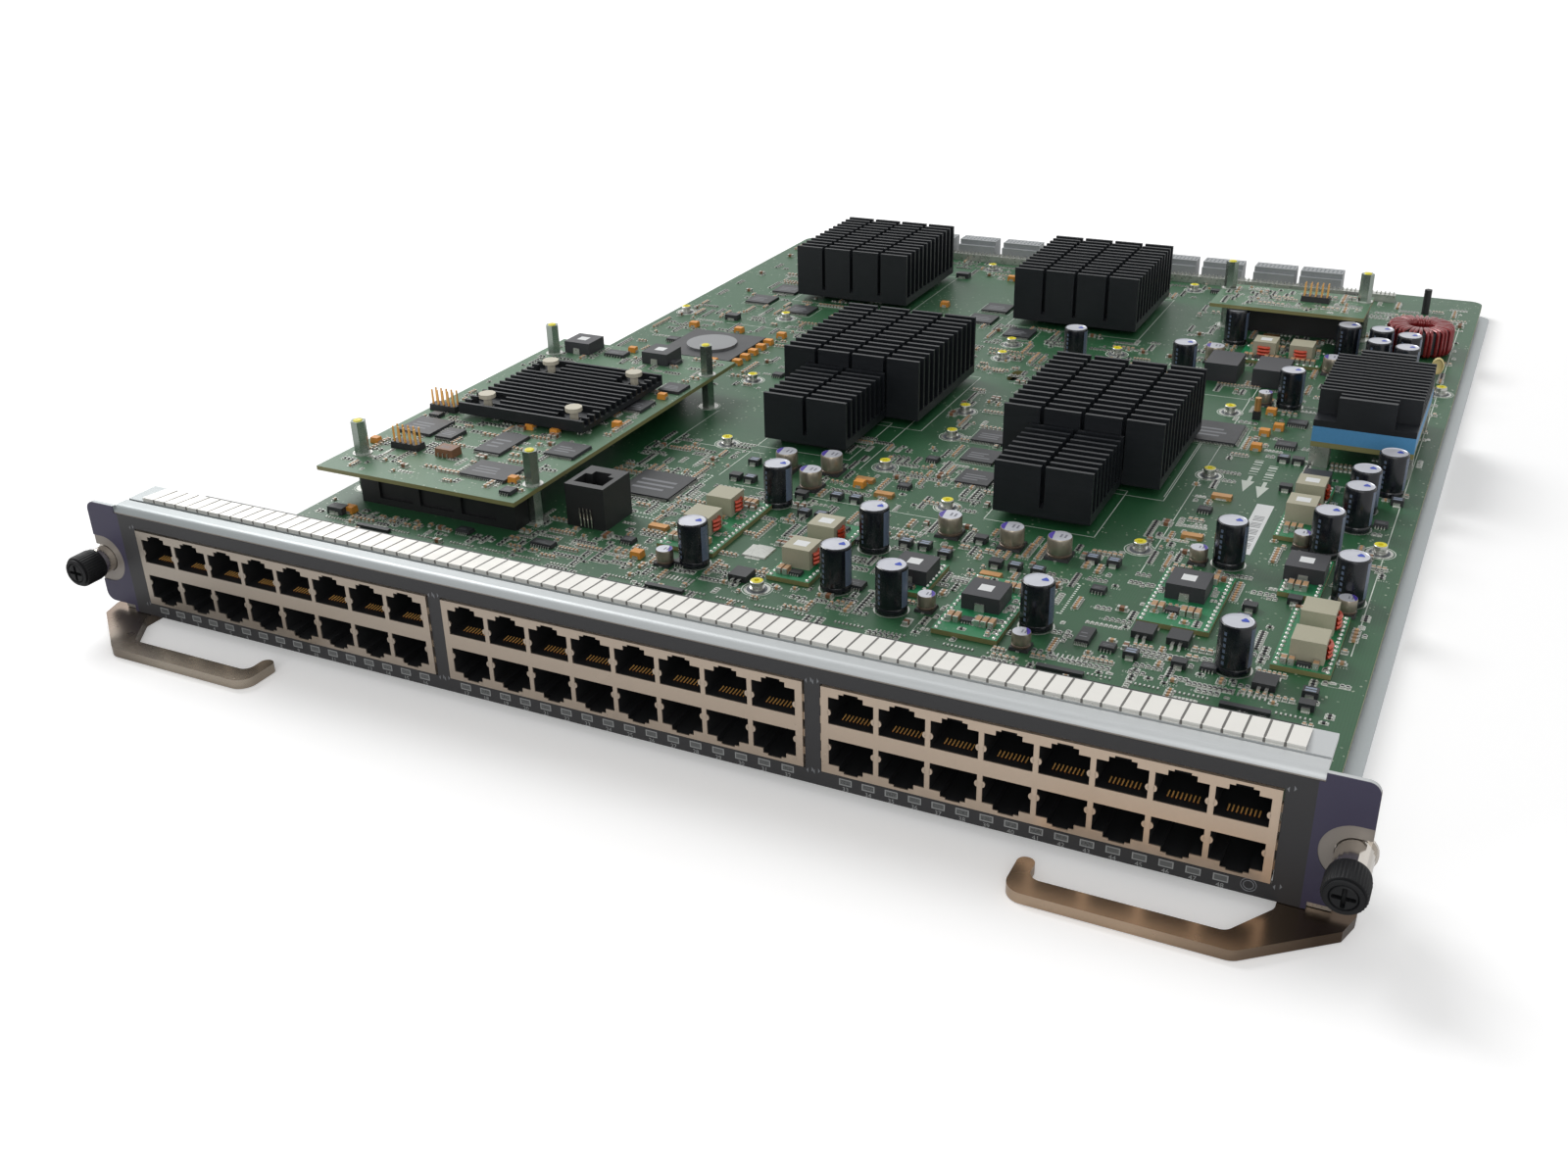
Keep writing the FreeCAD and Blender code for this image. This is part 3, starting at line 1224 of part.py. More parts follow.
# ---------------------------------------------------------------------------
# Build, check and write
# ---------------------------------------------------------------------------
def check_and_write():
    document.recompute()
    for thing in document.Objects:
        if "Invalid" in thing.State or "Error" in thing.State:
            raise RuntimeError(f"{thing.Label} failed: {thing.State}")
    os.makedirs("parts", exist_ok=True)
    for piece in pieces:
        shape = piece.Shape
        if shape.isNull() or not shape.isValid() or not shape.Solids:
            raise RuntimeError(f"{piece.Label} has no sound solid")
        shape.exportStep(f"parts/{piece.Label}.step")
    print(f"{len(pieces)} pieces written")


make_tray()
make_board_nuts()
make_main_board()
make_board_screws()
make_front_panel()
make_panel_film()
make_lamp_bars()
make_gasket()
make_jack_blocks()
for direction, lever_side in ((-1, "left"), (1, "right")):
    make_lever(direction, f"ejector_lever_{lever_side}")
    make_bracket(direction, f"end_bracket_{lever_side}")
make_pivots()
make_thumbscrews()
make_heatsinks()
make_chips()
make_mezzanine()
make_capacitors()
make_power_modules()
make_console_jack()
make_toroid_and_post()
make_power_brick()
make_daughter_board()
make_hex_spacers()
make_stacking_connectors()
make_backplane_plugs()
check_and_write()
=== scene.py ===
"""Looks of a switch line card: finishes for its CAD nodes, and the small parts, prints and
windings that stand on them. Lengths are metres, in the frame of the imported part."""

import math

import bpy
import numpy as np
from mathutils import Matrix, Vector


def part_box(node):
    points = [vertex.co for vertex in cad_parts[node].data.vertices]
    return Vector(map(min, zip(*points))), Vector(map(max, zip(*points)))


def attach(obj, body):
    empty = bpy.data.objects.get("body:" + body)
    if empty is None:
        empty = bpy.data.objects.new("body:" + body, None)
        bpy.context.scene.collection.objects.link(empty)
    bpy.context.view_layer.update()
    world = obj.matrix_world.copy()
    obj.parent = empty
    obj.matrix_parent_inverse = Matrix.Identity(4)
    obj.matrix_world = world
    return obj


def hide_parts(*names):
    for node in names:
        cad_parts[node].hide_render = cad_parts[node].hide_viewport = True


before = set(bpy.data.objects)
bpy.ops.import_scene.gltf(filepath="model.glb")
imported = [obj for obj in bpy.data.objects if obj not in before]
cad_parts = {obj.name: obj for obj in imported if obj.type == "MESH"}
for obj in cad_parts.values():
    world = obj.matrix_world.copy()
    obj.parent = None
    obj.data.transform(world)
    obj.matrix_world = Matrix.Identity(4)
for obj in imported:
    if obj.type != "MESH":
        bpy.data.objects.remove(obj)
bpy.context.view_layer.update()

MM = 0.001
CARD = "card"
PRINT = 0.03 * MM  # how far a print stands over its board or film
LABEL = 0.01 * MM  # how far a marking stands over its package
draw = np.random.default_rng(48)


# ---- Measures read from the frame ----
def mm(*sizes):
    """Lengths that are given in millimetres, as an array."""
    return np.array(sizes) * MM


def stack(*coordinates):
    """A row of coordinates for each point; a single number serves for all of them."""
    return np.column_stack(np.broadcast_arrays(*coordinates))


def corners(node):
    """Lowest and highest corner of a whole CAD node."""
    low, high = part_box(node)
    return np.array(low), np.array(high)


def solid_boxes(node):
    """Lowest and highest corner of each closed solid of a CAD node, sorted by place.
    Vertices at one place share a label, and every triangle hands its lowest label to its
    corners until nothing changes."""
    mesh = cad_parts[node].data
    points = np.empty(len(mesh.vertices) * 3, np.float32)
    mesh.vertices.foreach_get("co", points)
    points = points.reshape(-1, 3)
    loops = np.empty(len(mesh.loops), np.int32)
    mesh.loops.foreach_get("vertex_index", loops)
    place = np.unique(np.round(points, 6), axis=0, return_inverse=True)[1].reshape(-1)
    triangles = place[loops].reshape(-1, 3)
    label, fresh = None, np.arange(place.max() + 1)
    while label is None or (fresh != label).any():
        label = fresh
        lowest = label[triangles].min(axis=1)
        fresh = label.copy()
        for column in range(3):
            np.minimum.at(fresh, triangles[:, column], lowest)
        fresh = fresh[fresh]
    owner = label[place]
    whole = [points[owner == one] for one in np.unique(owner)]
    lows = np.array([each.min(axis=0) for each in whole], float)
    highs = np.array([each.max(axis=0) for each in whole], float)
    order = np.lexsort(lows.T.round(4))
    return lows[order], highs[order]


def solids(*nodes):
    """Lowest and highest corner of every solid of the nodes, pair after pair."""
    return [pair for node in nodes for pair in zip(*solid_boxes(node))]


board_low, board_high = corners("main_board")
BOARD_TOP = board_high[2]
BOARD_WIDE = board_high[0] - board_low[0]
film_low, film_high = corners("panel_film")
FACE = film_low[1]
mezz_low, mezz_high = corners("mezzanine_board")
daughter_low, daughter_high = corners("daughter_board")


def at(x, y, rise=0.0):
    """Point over the board, in millimetres across and behind the panel's face."""
    return np.array([x * MM, FACE + y * MM, BOARD_TOP + rise * MM])


# ---- Surfaces: points, or points and faces, as whole arrays ----
CUBE = np.array([[x, y, z] for z in (0, 1) for y in (0, 1) for x in (0, 1)], float)
CUBE_FACES = np.array([[0, 2, 3, 1], [4, 5, 7, 6], [0, 1, 5, 4], [2, 6, 7, 3],
                       [0, 4, 6, 2], [1, 3, 7, 5]])


def repeated(points, faces, copies):
    """The face list of one shape, shifted on by its number of points for each copy."""
    return (faces[None] + (np.arange(copies) * points)[:, None, None]).reshape(-1, faces.shape[1])


def boxes(lows, highs, inset=0.0):
    """A box per row: low corner plus the unit cube times its extent. The upper four corners
    move inwards by the inset, which gives moulded packages their draft."""
    lows, highs = np.atleast_2d(lows).astype(float), np.atleast_2d(highs).astype(float)
    points = lows[:, None] + CUBE[None] * (highs - lows)[:, None]
    inward = (0.5 - CUBE[None, :, :2]) * 2 * inset
    points[:, 4:, :2] += inward[:, 4:]
    return points.reshape(-1, 3), repeated(8, CUBE_FACES, len(lows))


def closed_rows(rows, sides):
    """Quads between rows of points, each row closed on itself."""
    row, step = np.meshgrid(np.arange(rows - 1), np.arange(sides), indexing="ij")
    here, there = row * sides + step, row * sides + (step + 1) % sides
    return np.stack([here, there, there + sides, here + sides], axis=-1).reshape(-1, 4)


def circle(count):
    """Angles once round, evenly spaced."""
    return np.arange(count) * (2 * np.pi / count)


def turned(profile, middles, sides=20):
    """A profile of (radius, height) pairs carried round the vertical through each middle:
    x is radius times cosine, y is radius times sine. Its ends lie on the axis."""
    profile = np.atleast_2d(profile)
    turn = circle(sides)
    ring = np.stack([np.cos(turn), np.sin(turn), np.zeros(sides)], axis=1)
    shape = profile[:, None, :1] * ring[None] + profile[:, None, 1:] * np.array([0, 0, 1.0])
    return copied(shape.reshape(-1, 3), closed_rows(len(profile), sides), middles)


def tube(path, radius, sides=6):
    """A ring of points carried along a path, square to the path's direction there."""
    path = np.asarray(path, float)
    ahead = np.gradient(path, axis=0)
    ahead /= np.linalg.norm(ahead, axis=1, keepdims=True)
    up = np.where(np.abs(ahead[:, 2:]) > 0.9, [[1.0, 0, 0]], [[0, 0, 1.0]])
    side = np.cross(ahead, up)
    side /= np.linalg.norm(side, axis=1, keepdims=True)
    top = np.cross(side, ahead)
    turn = circle(sides)
    points = (path[:, None] + radius * (np.cos(turn)[None, :, None] * side[:, None]
                                        + np.sin(turn)[None, :, None] * top[:, None]))
    return points.reshape(-1, 3), closed_rows(len(path), sides)


def sheets(lows, highs, level):
    """A flat rectangle per row at one height, for prints and pads."""
    lows, highs = np.atleast_2d(lows), np.atleast_2d(highs)
    flat = np.array([[0, 0], [1, 0], [1, 1], [0, 1]], float)
    points = np.full((len(lows), 4, 3), float(level))
    points[:, :, :2] = lows[:, None, :2] + flat[None] * (highs - lows)[:, None, :2]
    return points.reshape(-1, 3), repeated(4, np.array([[0, 1, 2, 3]]), len(lows))


def copied(shape, faces, middles):
    """The points and faces of one shape, set down at each of the middles."""
    middles = np.atleast_2d(middles)
    points = (middles[:, None] + shape[None]).reshape(-1, 3)
    return points, repeated(len(shape), faces, len(middles))


def arc(radius, start, stop, height, steps):
    """Points of an arc round the vertical between two angles in degrees, at one height."""
    turn = np.radians(np.linspace(start, stop, steps + 1))
    return stack(np.cos(turn) * radius, np.sin(turn) * radius, height)


def band(first, second, middles):
    """A strip of quads from one row of points to another, for each middle."""
    steps = len(first) - 1
    step = np.arange(steps)
    faces = np.stack([step, step + 1, step + steps + 2, step + steps + 1], axis=1)
    return copied(np.concatenate([first, second]), faces, middles)


def link_object(name, data):
    """A new object of the scene that shows the data."""
    thing = bpy.data.objects.new(name, data)
    bpy.context.scene.collection.objects.link(thing)
    return thing


class Piece:
    """Gathers surfaces with a material number each, and makes one object of them."""

    def __init__(self, name, finishes, body=CARD, stands_for=(), slot=None):
        self.name, self.finishes, self.body = name, finishes.split(), body
        self.stands_for, self.slot = stands_for, slot
        self.points, self.faces, self.numbers, self.count = [], [], [], 0

    def add(self, surface, number=0):
        points, faces = surface
        self.points.append(points)
        self.faces.extend((np.asarray(faces) + self.count).tolist())
        self.numbers.append(np.full(len(faces), number))
        self.count += len(points)

    def box(self, lows, highs, number=0, inset=0.0):
        self.add(boxes(lows, highs, inset), number)

    def sheet(self, lows, highs, level, number=0):
        self.add(sheets(lows, highs, level), number)

    def turn(self, profile, middles, sides, number=0):
        self.add(turned(profile, middles, sides), number)

    def make(self, soften=None):
        mesh = bpy.data.meshes.new(self.name)
        mesh.from_pydata(np.concatenate(self.points).tolist(), [], self.faces)
        for name in self.finishes:
            mesh.materials.append(FINISH[name])
        mesh.polygons.foreach_set("material_index", np.concatenate(self.numbers).astype(np.int32))
        mesh.validate()
        thing = link_object(self.name, mesh)
        if soften is not None:
            mesh.shade_smooth()
            mesh.set_sharp_from_angle(angle=math.radians(soften))
        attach(thing, self.body)
        if self.stands_for:
            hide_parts(*self.stands_for)


# ---- Shader building ----
def linear(colour):
    """Scene colour from an ordinary 0-255 one: the curve of the sRGB standard."""
    share = np.array(colour, float) / 255
    low, high = share / 12.92, ((share + 0.055) / 1.055) ** 2.4
    return (*np.where(share <= 0.04045, low, high).tolist(), 1.0)


class Nodes:
    """Short names for the nodes that the finishes are made of."""

    def __init__(self, tree):
        self.tree = tree

    def node(self, kind, values=None, **settings):
        made = self.tree.nodes.new(kind)
        for name, value in settings.items():
            setattr(made, name, value)
        self.fill(made.inputs, values or {})
        return made

    def put(self, socket, value):
        if isinstance(value, bpy.types.NodeSocket):
            self.tree.links.new(value, socket)
        else:
            socket.default_value = value

    def fill(self, sockets, values):
        for name, value in values.items():
            self.put(sockets[name], value)

    def group(self, tree, **values):
        return self.node("ShaderNodeGroup", values, node_tree=tree).outputs

    def place(self):
        return self.node("ShaderNodeTexCoord").outputs["Object"]

    def noise(self, vector, scale, detail=3.0):
        return self.node("ShaderNodeTexNoise", {"Vector": vector, "Scale": scale, "Detail": detail,
                                                "Roughness": 0.55}).outputs["Fac"]

    def cells(self, vector, scale, output="Distance"):
        return self.node("ShaderNodeTexVoronoi", {"Vector": vector, "Scale": scale}).outputs[output]

    def maths(self, work, first, second=0.0, third=0.0):
        made = self.node("ShaderNodeMath", {0: first, 1: second, 2: third}, operation=work)
        return made.outputs[0]

    def span(self, value, low, high, bottom=0.0, top=1.0):
        return self.node("ShaderNodeMapRange", {"Value": value, "From Min": low, "From Max": high,
                                                "To Min": bottom, "To Max": top}).outputs["Result"]

    def blend(self, share, first, second):
        return self.node("ShaderNodeMix", {0: share, 6: first, 7: second}, data_type="RGBA").outputs[2]

    def parts(self, vector):
        return self.node("ShaderNodeSeparateXYZ", {"Vector": vector}).outputs

    def bump(self, height, strength, distance):
        return self.node("ShaderNodeBump", {"Height": height, "Strength": strength,
                                            "Distance": distance}).outputs["Normal"]

    def pick(self, share, first, second):
        """A shader that is the second where the share is one, and the first elsewhere."""
        return self.node("ShaderNodeMixShader", {0: share, 1: first, 2: second}).outputs[0]


def new_material(name):
    """A material, the nodes' short names for it, and the inputs of its shader."""
    material = bpy.data.materials.new(name)
    material.use_nodes = True
    tree = material.node_tree
    return material, Nodes(tree), tree.nodes["Principled BSDF"].inputs


def group_tree(name, inputs, outputs):
    """A group with its named inputs (a number or a vector each) and its outputs' names."""
    tree = bpy.data.node_groups.new(name, "ShaderNodeTree")
    for label, default in inputs.items():
        kind = "NodeSocketVector" if isinstance(default, tuple) else "NodeSocketFloat"
        tree.interface.new_socket(label, in_out="INPUT", socket_type=kind).default_value = default
    for label in outputs:
        tree.interface.new_socket(label, in_out="OUTPUT", socket_type="NodeSocketFloat")
    nodes = Nodes(tree)
    start, end = nodes.node("NodeGroupInput"), nodes.node("NodeGroupOutput")
    return tree, nodes, start.outputs, end.inputs


def make_mottle():
    """Broad and fine cloudiness of a surface: two noises, mixed and centred on a half."""
    tree, nodes, given, result = group_tree(
        "mottle", {"Broad": 30.0, "Fine": 900.0, "Contrast": 1.0}, ("Value",))
    where = nodes.place()
    broad = nodes.noise(where, given["Broad"])
    fine = nodes.noise(where, given["Fine"], 2.0)
    both = nodes.maths("MULTIPLY_ADD", fine, 0.4, nodes.maths("MULTIPLY", broad, 0.6))
    swing = nodes.maths("MULTIPLY", nodes.maths("SUBTRACT", both, 0.5), given["Contrast"])
    nodes.put(result["Value"], nodes.maths("ADD", swing, 0.5))
    return tree


def make_brushing():
    """Fine lines of a drawn or brushed metal: noise stretched along one axis."""
    tree, nodes, given, result = group_tree(
        "brushing", {"Along": (1.0, 1.0, 1.0), "Scale": 100.0}, ("Value",))
    where = nodes.node("ShaderNodeVectorMath", operation="MULTIPLY")
    nodes.fill(where.inputs, {0: nodes.place(), 1: given["Along"]})
    nodes.put(result["Value"], nodes.noise(where.outputs[0], given["Scale"], 4.0))
    return tree


def make_board_copper():
    """Masks of a circuit board: via dots, bundles of tracks, and large copper areas.
    Tracks are stripes of a sawtooth along X or Y, whichever a cell of noise picks."""
    tree, nodes, given, result = group_tree(
        "board_copper", {"Pitch": 1100.0}, ("Vias", "Tracks", "Planes"))
    where = nodes.place()
    x, y, _ = nodes.parts(where)
    dots = nodes.cells(where, 420.0)
    crowd = nodes.span(nodes.noise(where, 45.0, 2.0), 0.47, 0.56)
    nodes.put(result["Vias"], nodes.maths("MULTIPLY", nodes.maths("LESS_THAN", dots, 0.17), crowd))
    cell = nodes.parts(nodes.cells(where, 55.0, "Color"))
    flip = nodes.maths("GREATER_THAN", cell[0], 0.5)
    run = nodes.maths("ADD", nodes.maths("MULTIPLY", x, flip),
                      nodes.maths("MULTIPLY", y, nodes.maths("SUBTRACT", 1.0, flip)))
    stripes = nodes.maths("FRACT", nodes.maths("MULTIPLY", run, given["Pitch"]))
    stripes = nodes.maths("GREATER_THAN", stripes, 0.55)
    routed = nodes.maths("GREATER_THAN", cell[1], 0.42)
    nodes.put(result["Tracks"], nodes.maths("MULTIPLY", stripes, routed))
    nodes.put(result["Planes"], nodes.parts(nodes.cells(where, 22.0, "Color"))[2])
    return tree


MOTTLE, BRUSHING, COPPER = make_mottle(), make_brushing(), make_board_copper()


FINISH = {}


def finish(name, colour, rough, metal=0.0, colour_swing=0.12, rough_swing=0.1, broad=30.0,
           fine=900.0, bump=0.0, brushed=None, coat=0.0, specular=0.5, left=None, ends=None):
    """A general finish: colour and roughness swing with the mottle, or with brushing along
    one axis, and the same value gives a slight relief. A second colour can take over towards
    the card's left end, and a third beyond the handles towards both ends; these are painted
    light: a painted shade and reflection towards the left end, and a painted dark reflection
    near both ends."""
    FINISH[name], nodes, shader = new_material(name)
    if brushed is None:
        value = nodes.group(MOTTLE, Broad=broad, Fine=fine, Contrast=1.6)["Value"]
    else:
        value = nodes.group(BRUSHING, Along=brushed, Scale=fine)["Value"]
    base = np.array(linear(colour))[:3]
    dark = (*(base * (1 - colour_swing)), 1.0)
    light = (*np.minimum(base * (1 + colour_swing) + 0.01 * colour_swing, 1), 1.0)
    tint = nodes.blend(value, dark, light)
    # Painted shade and reflection: the left end's colour stands in for the light falling off along the
    # card.
    if left is not None:
        across = nodes.parts(nodes.place())[0]
        share = nodes.span(across, -BOARD_WIDE / 2, BOARD_WIDE / 2)
        tint = nodes.blend(share, linear(left), tint)
    # Painted reflection: the dark colour near both ends stands in for the dark panel seen in the
    # levers.
    if ends is not None:
        reach = nodes.maths("ABSOLUTE", nodes.parts(nodes.place())[0])
        tint = nodes.blend(nodes.span(reach, 150 * MM, 190 * MM), tint, linear(ends))
    least, most = max(rough - rough_swing, 0.05), min(rough + rough_swing, 1.0)
    nodes.fill(shader, {"Base Color": tint, "Metallic": metal, "Coat Weight": coat,
                        "Roughness": nodes.span(value, 0.0, 1.0, least, most),
                        "Specular IOR Level": specular})
    if bump:
        nodes.put(shader["Normal"], nodes.bump(value, bump, 0.2 * MM))


def board_finish(name, colour, track_share, plane_share):
    """Solder mask over copper: tracks and planes lighten the green, vias are pale dots, and
    the board's edges show bare laminate."""
    FINISH[name], nodes, shader = new_material(name)
    copper = nodes.group(COPPER, Pitch=1100.0)
    haze = nodes.group(MOTTLE, Broad=14.0, Fine=300.0, Contrast=1.0)["Value"]
    base = np.array(linear(colour))
    deep = (*(base[:3] * 0.72), 1.0)
    pale = (*(base[:3] * 1.5 + 0.012), 1.0)
    tint = nodes.blend(haze, deep, tuple(base))
    for mask, share, over in (("Planes", plane_share, pale), ("Tracks", track_share, pale),
                              ("Vias", 0.8, linear((168, 180, 160)))):
        tint = nodes.blend(nodes.maths("MULTIPLY", copper[mask], share), tint, over)
    normal = nodes.node("ShaderNodeNewGeometry").outputs["Normal"]
    edge = nodes.maths("LESS_THAN", nodes.maths("ABSOLUTE", nodes.parts(normal)[2]), 0.5)
    tint = nodes.blend(edge, tint, linear((132, 128, 84)))
    nodes.fill(shader, {"Base Color": tint, "Roughness": nodes.span(haze, 0.0, 1.0, 0.34, 0.5)})
    relief = nodes.maths("ADD", copper["Tracks"], nodes.maths("MULTIPLY", copper["Vias"], 1.5))
    nodes.put(shader["Normal"], nodes.bump(relief, 0.25, 0.06 * MM))


def panel_finish():
    """Brushed aluminium with painted light: brighter towards the right and darker towards the
    left, as the light falls; below the flange, where only the ears' recesses show, it is
    darker and warmer, a painted shade in the recesses."""
    # Painted light: bright at the right end, with a painted shade towards the left.
    finish("panel_aluminium", (196, 199, 200), 0.44, 0.35, 0.05, fine=140.0,
           brushed=(1.0, 20.0, 20.0), left=(144, 150, 151))
    tree = FINISH["panel_aluminium"].node_tree
    nodes = Nodes(tree)
    colour = tree.nodes["Principled BSDF"].inputs["Base Color"]
    tint = colour.links[0].from_socket
    # Painted shade: darker and warmer below the flange, in the ears' recesses.
    low = nodes.maths("LESS_THAN", nodes.parts(nodes.place())[2], film_high[2] - 2 * MM)
    nodes.put(colour, nodes.blend(low, tint, linear((134, 128, 122))))


def film_finish():
    """Printed film: charcoal in the middle, purple beyond the ears' inner ends."""
    FINISH["printed_film"], nodes, shader = new_material("printed_film")
    across = nodes.maths("ABSOLUTE", nodes.parts(nodes.place())[0])
    ends = nodes.maths("GREATER_THAN", across, film_high[0] - 13.1 * MM)
    value = nodes.group(MOTTLE, Broad=25.0, Fine=2500.0, Contrast=1.2)["Value"]
    middle = nodes.blend(value, linear((33, 33, 35)), linear((44, 44, 46)))
    purple = nodes.blend(value, linear((43, 40, 60)), linear((55, 51, 76)))
    nodes.fill(shader, {"Base Color": nodes.blend(ends, middle, purple),
                        "Roughness": nodes.span(value, 0.0, 1.0, 0.42, 0.62),
                        "Normal": nodes.bump(value, 0.15, 0.05 * MM)})


finish("zinc_tray", (188, 194, 196), 0.42, 0.6, 0.1, 0.14, broad=20.0, bump=0.1)
board_finish("board_mask", (31, 82, 48), 0.14, 0.16)
board_finish("module_mask", (24, 120, 74), 0.1, 0.12)
board_finish("mezzanine_mask", (66, 104, 74), 0.3, 0.3)
panel_finish()
film_finish()
# Painted shade: the shields darken towards the card's left end.
finish("shield_tin", (200, 180, 160), 0.32, 0.8, 0.06, broad=24.0, bump=0.05, left=(158, 150, 140))
finish("spring_bright", (232, 230, 224), 0.3, 0.55, 0.03, 0.06, broad=60.0, fine=200.0)
# Painted shade of the gaps between the gasket's fingers.
finish("gasket_slit_shade", (104, 102, 98), 0.6, 0.0, 0.2)
finish("black_moulded", (20, 21, 23), 0.5, 0.0, 0.3, 0.12, fine=3000.0, bump=0.1)
finish("port_black", (13, 14, 16), 0.55, 0.0, 0.3, fine=2000.0)
finish("knob_black", (15, 16, 18), 0.55, 0.0, 0.25, fine=2500.0, bump=0.1, specular=0.22)
finish("lamp_clear", (84, 86, 86), 0.3, 0.0, 0.2, fine=2000.0)
# Painted reflection: greyer towards the left end and dark brown beyond the handles, where the dark
# panel is reflected; the warm tint is partly painted reflection too.
finish("warm_nickel", (190, 166, 142), 0.27, 0.9, 0.07, 0.05, broad=12.0, fine=120.0,
       left=(168, 160, 148), ends=(84, 70, 58))
finish("bright_chrome", (206, 200, 192), 0.14, 0.95, 0.06, 0.05, broad=90.0)
finish("post_steel", (150, 160, 152), 0.24, 0.9, 0.14, 0.08, broad=160.0)
finish("bright_steel", (190, 190, 186), 0.3, 0.9, 0.12, 0.12, broad=120.0)
finish("black_anodised", (18, 22, 27), 0.44, 0.25, 0.25, 0.12, fine=160.0, brushed=(1.0, 16.0, 16.0))
finish("chip_epoxy", (38, 40, 43), 0.46, 0.0, 0.18, 0.12, broad=90.0, fine=2600.0, bump=0.12)
finish("lid_metal", (132, 134, 136), 0.4, 0.6, 0.1, broad=150.0)
finish("white_moulded", (196, 190, 172), 0.5, 0.0, 0.08)
finish("can_sleeve", (17, 20, 27), 0.24, 0.0, 0.25, broad=80.0, fine=1200.0)
finish("sleeve_stripe", (92, 104, 126), 0.3, 0.0, 0.14, fine=1400.0)
finish("can_top", (196, 198, 206), 0.36, 0.5, 0.08, broad=200.0)
finish("blue_ink", (26, 64, 176), 0.4, 0.1)
finish("violet_ink", (70, 52, 150), 0.4, 0.1)
finish("grey_ink", (120, 122, 132), 0.45, 0.1)
finish("polymer_side", (150, 142, 128), 0.34, 0.7, broad=200.0)
finish("copper_ring", (92, 78, 66), 0.4, 0.4, broad=200.0)
finish("beige_ferrite", (172, 168, 146), 0.5, fine=1800.0, bump=0.1)
finish("black_ferrite", (48, 49, 53), 0.5, 0.0, 0.2, fine=1800.0, bump=0.15)
finish("copper_wire", (190, 62, 28), 0.3, 0.3, 0.2, coat=0.3)
finish("red_wire", (128, 28, 30), 0.3, 0.2, 0.25, fine=1200.0, coat=0.3)
finish("blue_moulded", (78, 142, 190), 0.5)
finish("plug_grey", (150, 154, 156), 0.45, 0.2, 0.1)
# Painted shade: the dark grey of openings, used for the plugs' slots and at the screws' feet.
finish("slot_grey", (84, 90, 96), 0.5, 0.2, 0.1)
finish("gold_contact", (250, 190, 110), 0.35, 0.3, broad=300.0)
finish("solder", (190, 192, 186), 0.3, 0.7, 0.12, 0.12, broad=400.0)
finish("white_ink", (204, 212, 202), 0.55, 0.0, 0.08)
finish("film_ink", (138, 140, 140), 0.55, 0.0, 0.1)
finish("yellow_paint", (226, 214, 40), 0.4, 0.0, 0.2, broad=700.0)
finish("resistor_body", (34, 35, 38), 0.5, 0.0, 0.2)
finish("ceramic_tan", (176, 140, 104), 0.5, 0.0, 0.18, broad=400.0)
finish("ceramic_brown", (120, 82, 56), 0.5, 0.0, 0.18, broad=400.0)
finish("tantalum_body", (214, 142, 52), 0.45, 0.0, 0.14, broad=300.0)
finish("crystal_gold", (190, 142, 88), 0.34, 0.6, 0.14, broad=200.0)
finish("film_yellow", (222, 204, 146), 0.5, 0.0, 0.1, broad=200.0)
finish("label_white", (222, 224, 224), 0.55, 0.0, 0.05, 0.08)
finish("label_grey", (112, 114, 118), 0.55, 0.0, 0.1, 0.08)
finish("band_grey", (140, 152, 170), 0.45, 0.0, 0.1, 0.08)

WORN_BY = {
    # finish, then the nodes' names or the starts of their names
    "zinc_tray": "tray",
    "bright_steel": "board_spacers lever_pivots end_bracket_ retaining_clip_ brick_feet board_screws",
    "board_mask": "main_board", "panel_aluminium": "front_panel", "printed_film": "panel_film",
    "lamp_clear": "light_guides", "spring_bright": "gasket_strips", "warm_nickel": "ejector_lever_",
    "bright_chrome": "thumbscrew_ferrule_",
    "chip_epoxy": "heatsink_chips flat_chips processor power_transistors diode_packages",
    "lid_metal": "processor_lid", "mezzanine_mask": "mezzanine_board daughter_board",
    "module_mask": "power_module_boards brick_board",
    "black_anodised": "mezzanine_heatsink brick_heatsink heatsink_ small_heatsink_",
    "white_moulded": "push_pins",
    "black_moulded": "pin_headers console_jack test_post stacking_connectors",
    "beige_ferrite": "beige_chokes", "black_ferrite": "flat_chokes black_power_modules toroid_choke",
    "blue_moulded": "brick_frame", "post_steel": "hex_spacers", "plug_grey": "backplane_plugs",
    "solder": "pin_rails", "can_sleeve": "electrolytic_cans", "polymer_side": "polymer_capacitors",
    "knob_black": "thumbscrew_", "shield_tin": "jack_shield_", "port_black": "jack_housing_",
}


def dress_nodes():
    """Give every CAD node the finish whose list has the longest start of its name."""
    stems = {stem: name for name, nodes in WORN_BY.items() for stem in nodes.split()}
    for name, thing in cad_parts.items():
        stem = max((stem for stem in stems if name.startswith(stem)), key=len)
        thing.data.materials.clear()
        thing.data.materials.append(FINISH[stems[stem]])


dress_nodes()


# ---- Capacitors ----
def round_parts(node):
    """Feet of a node's upright round solids, and the first one's radius and height."""
    lows, highs = solid_boxes(node)
    feet = (lows + highs) / 2
    feet[:, 2] = lows[:, 2]
    wide, _, tall = (highs - lows)[0]
    return feet, wide / 2, tall


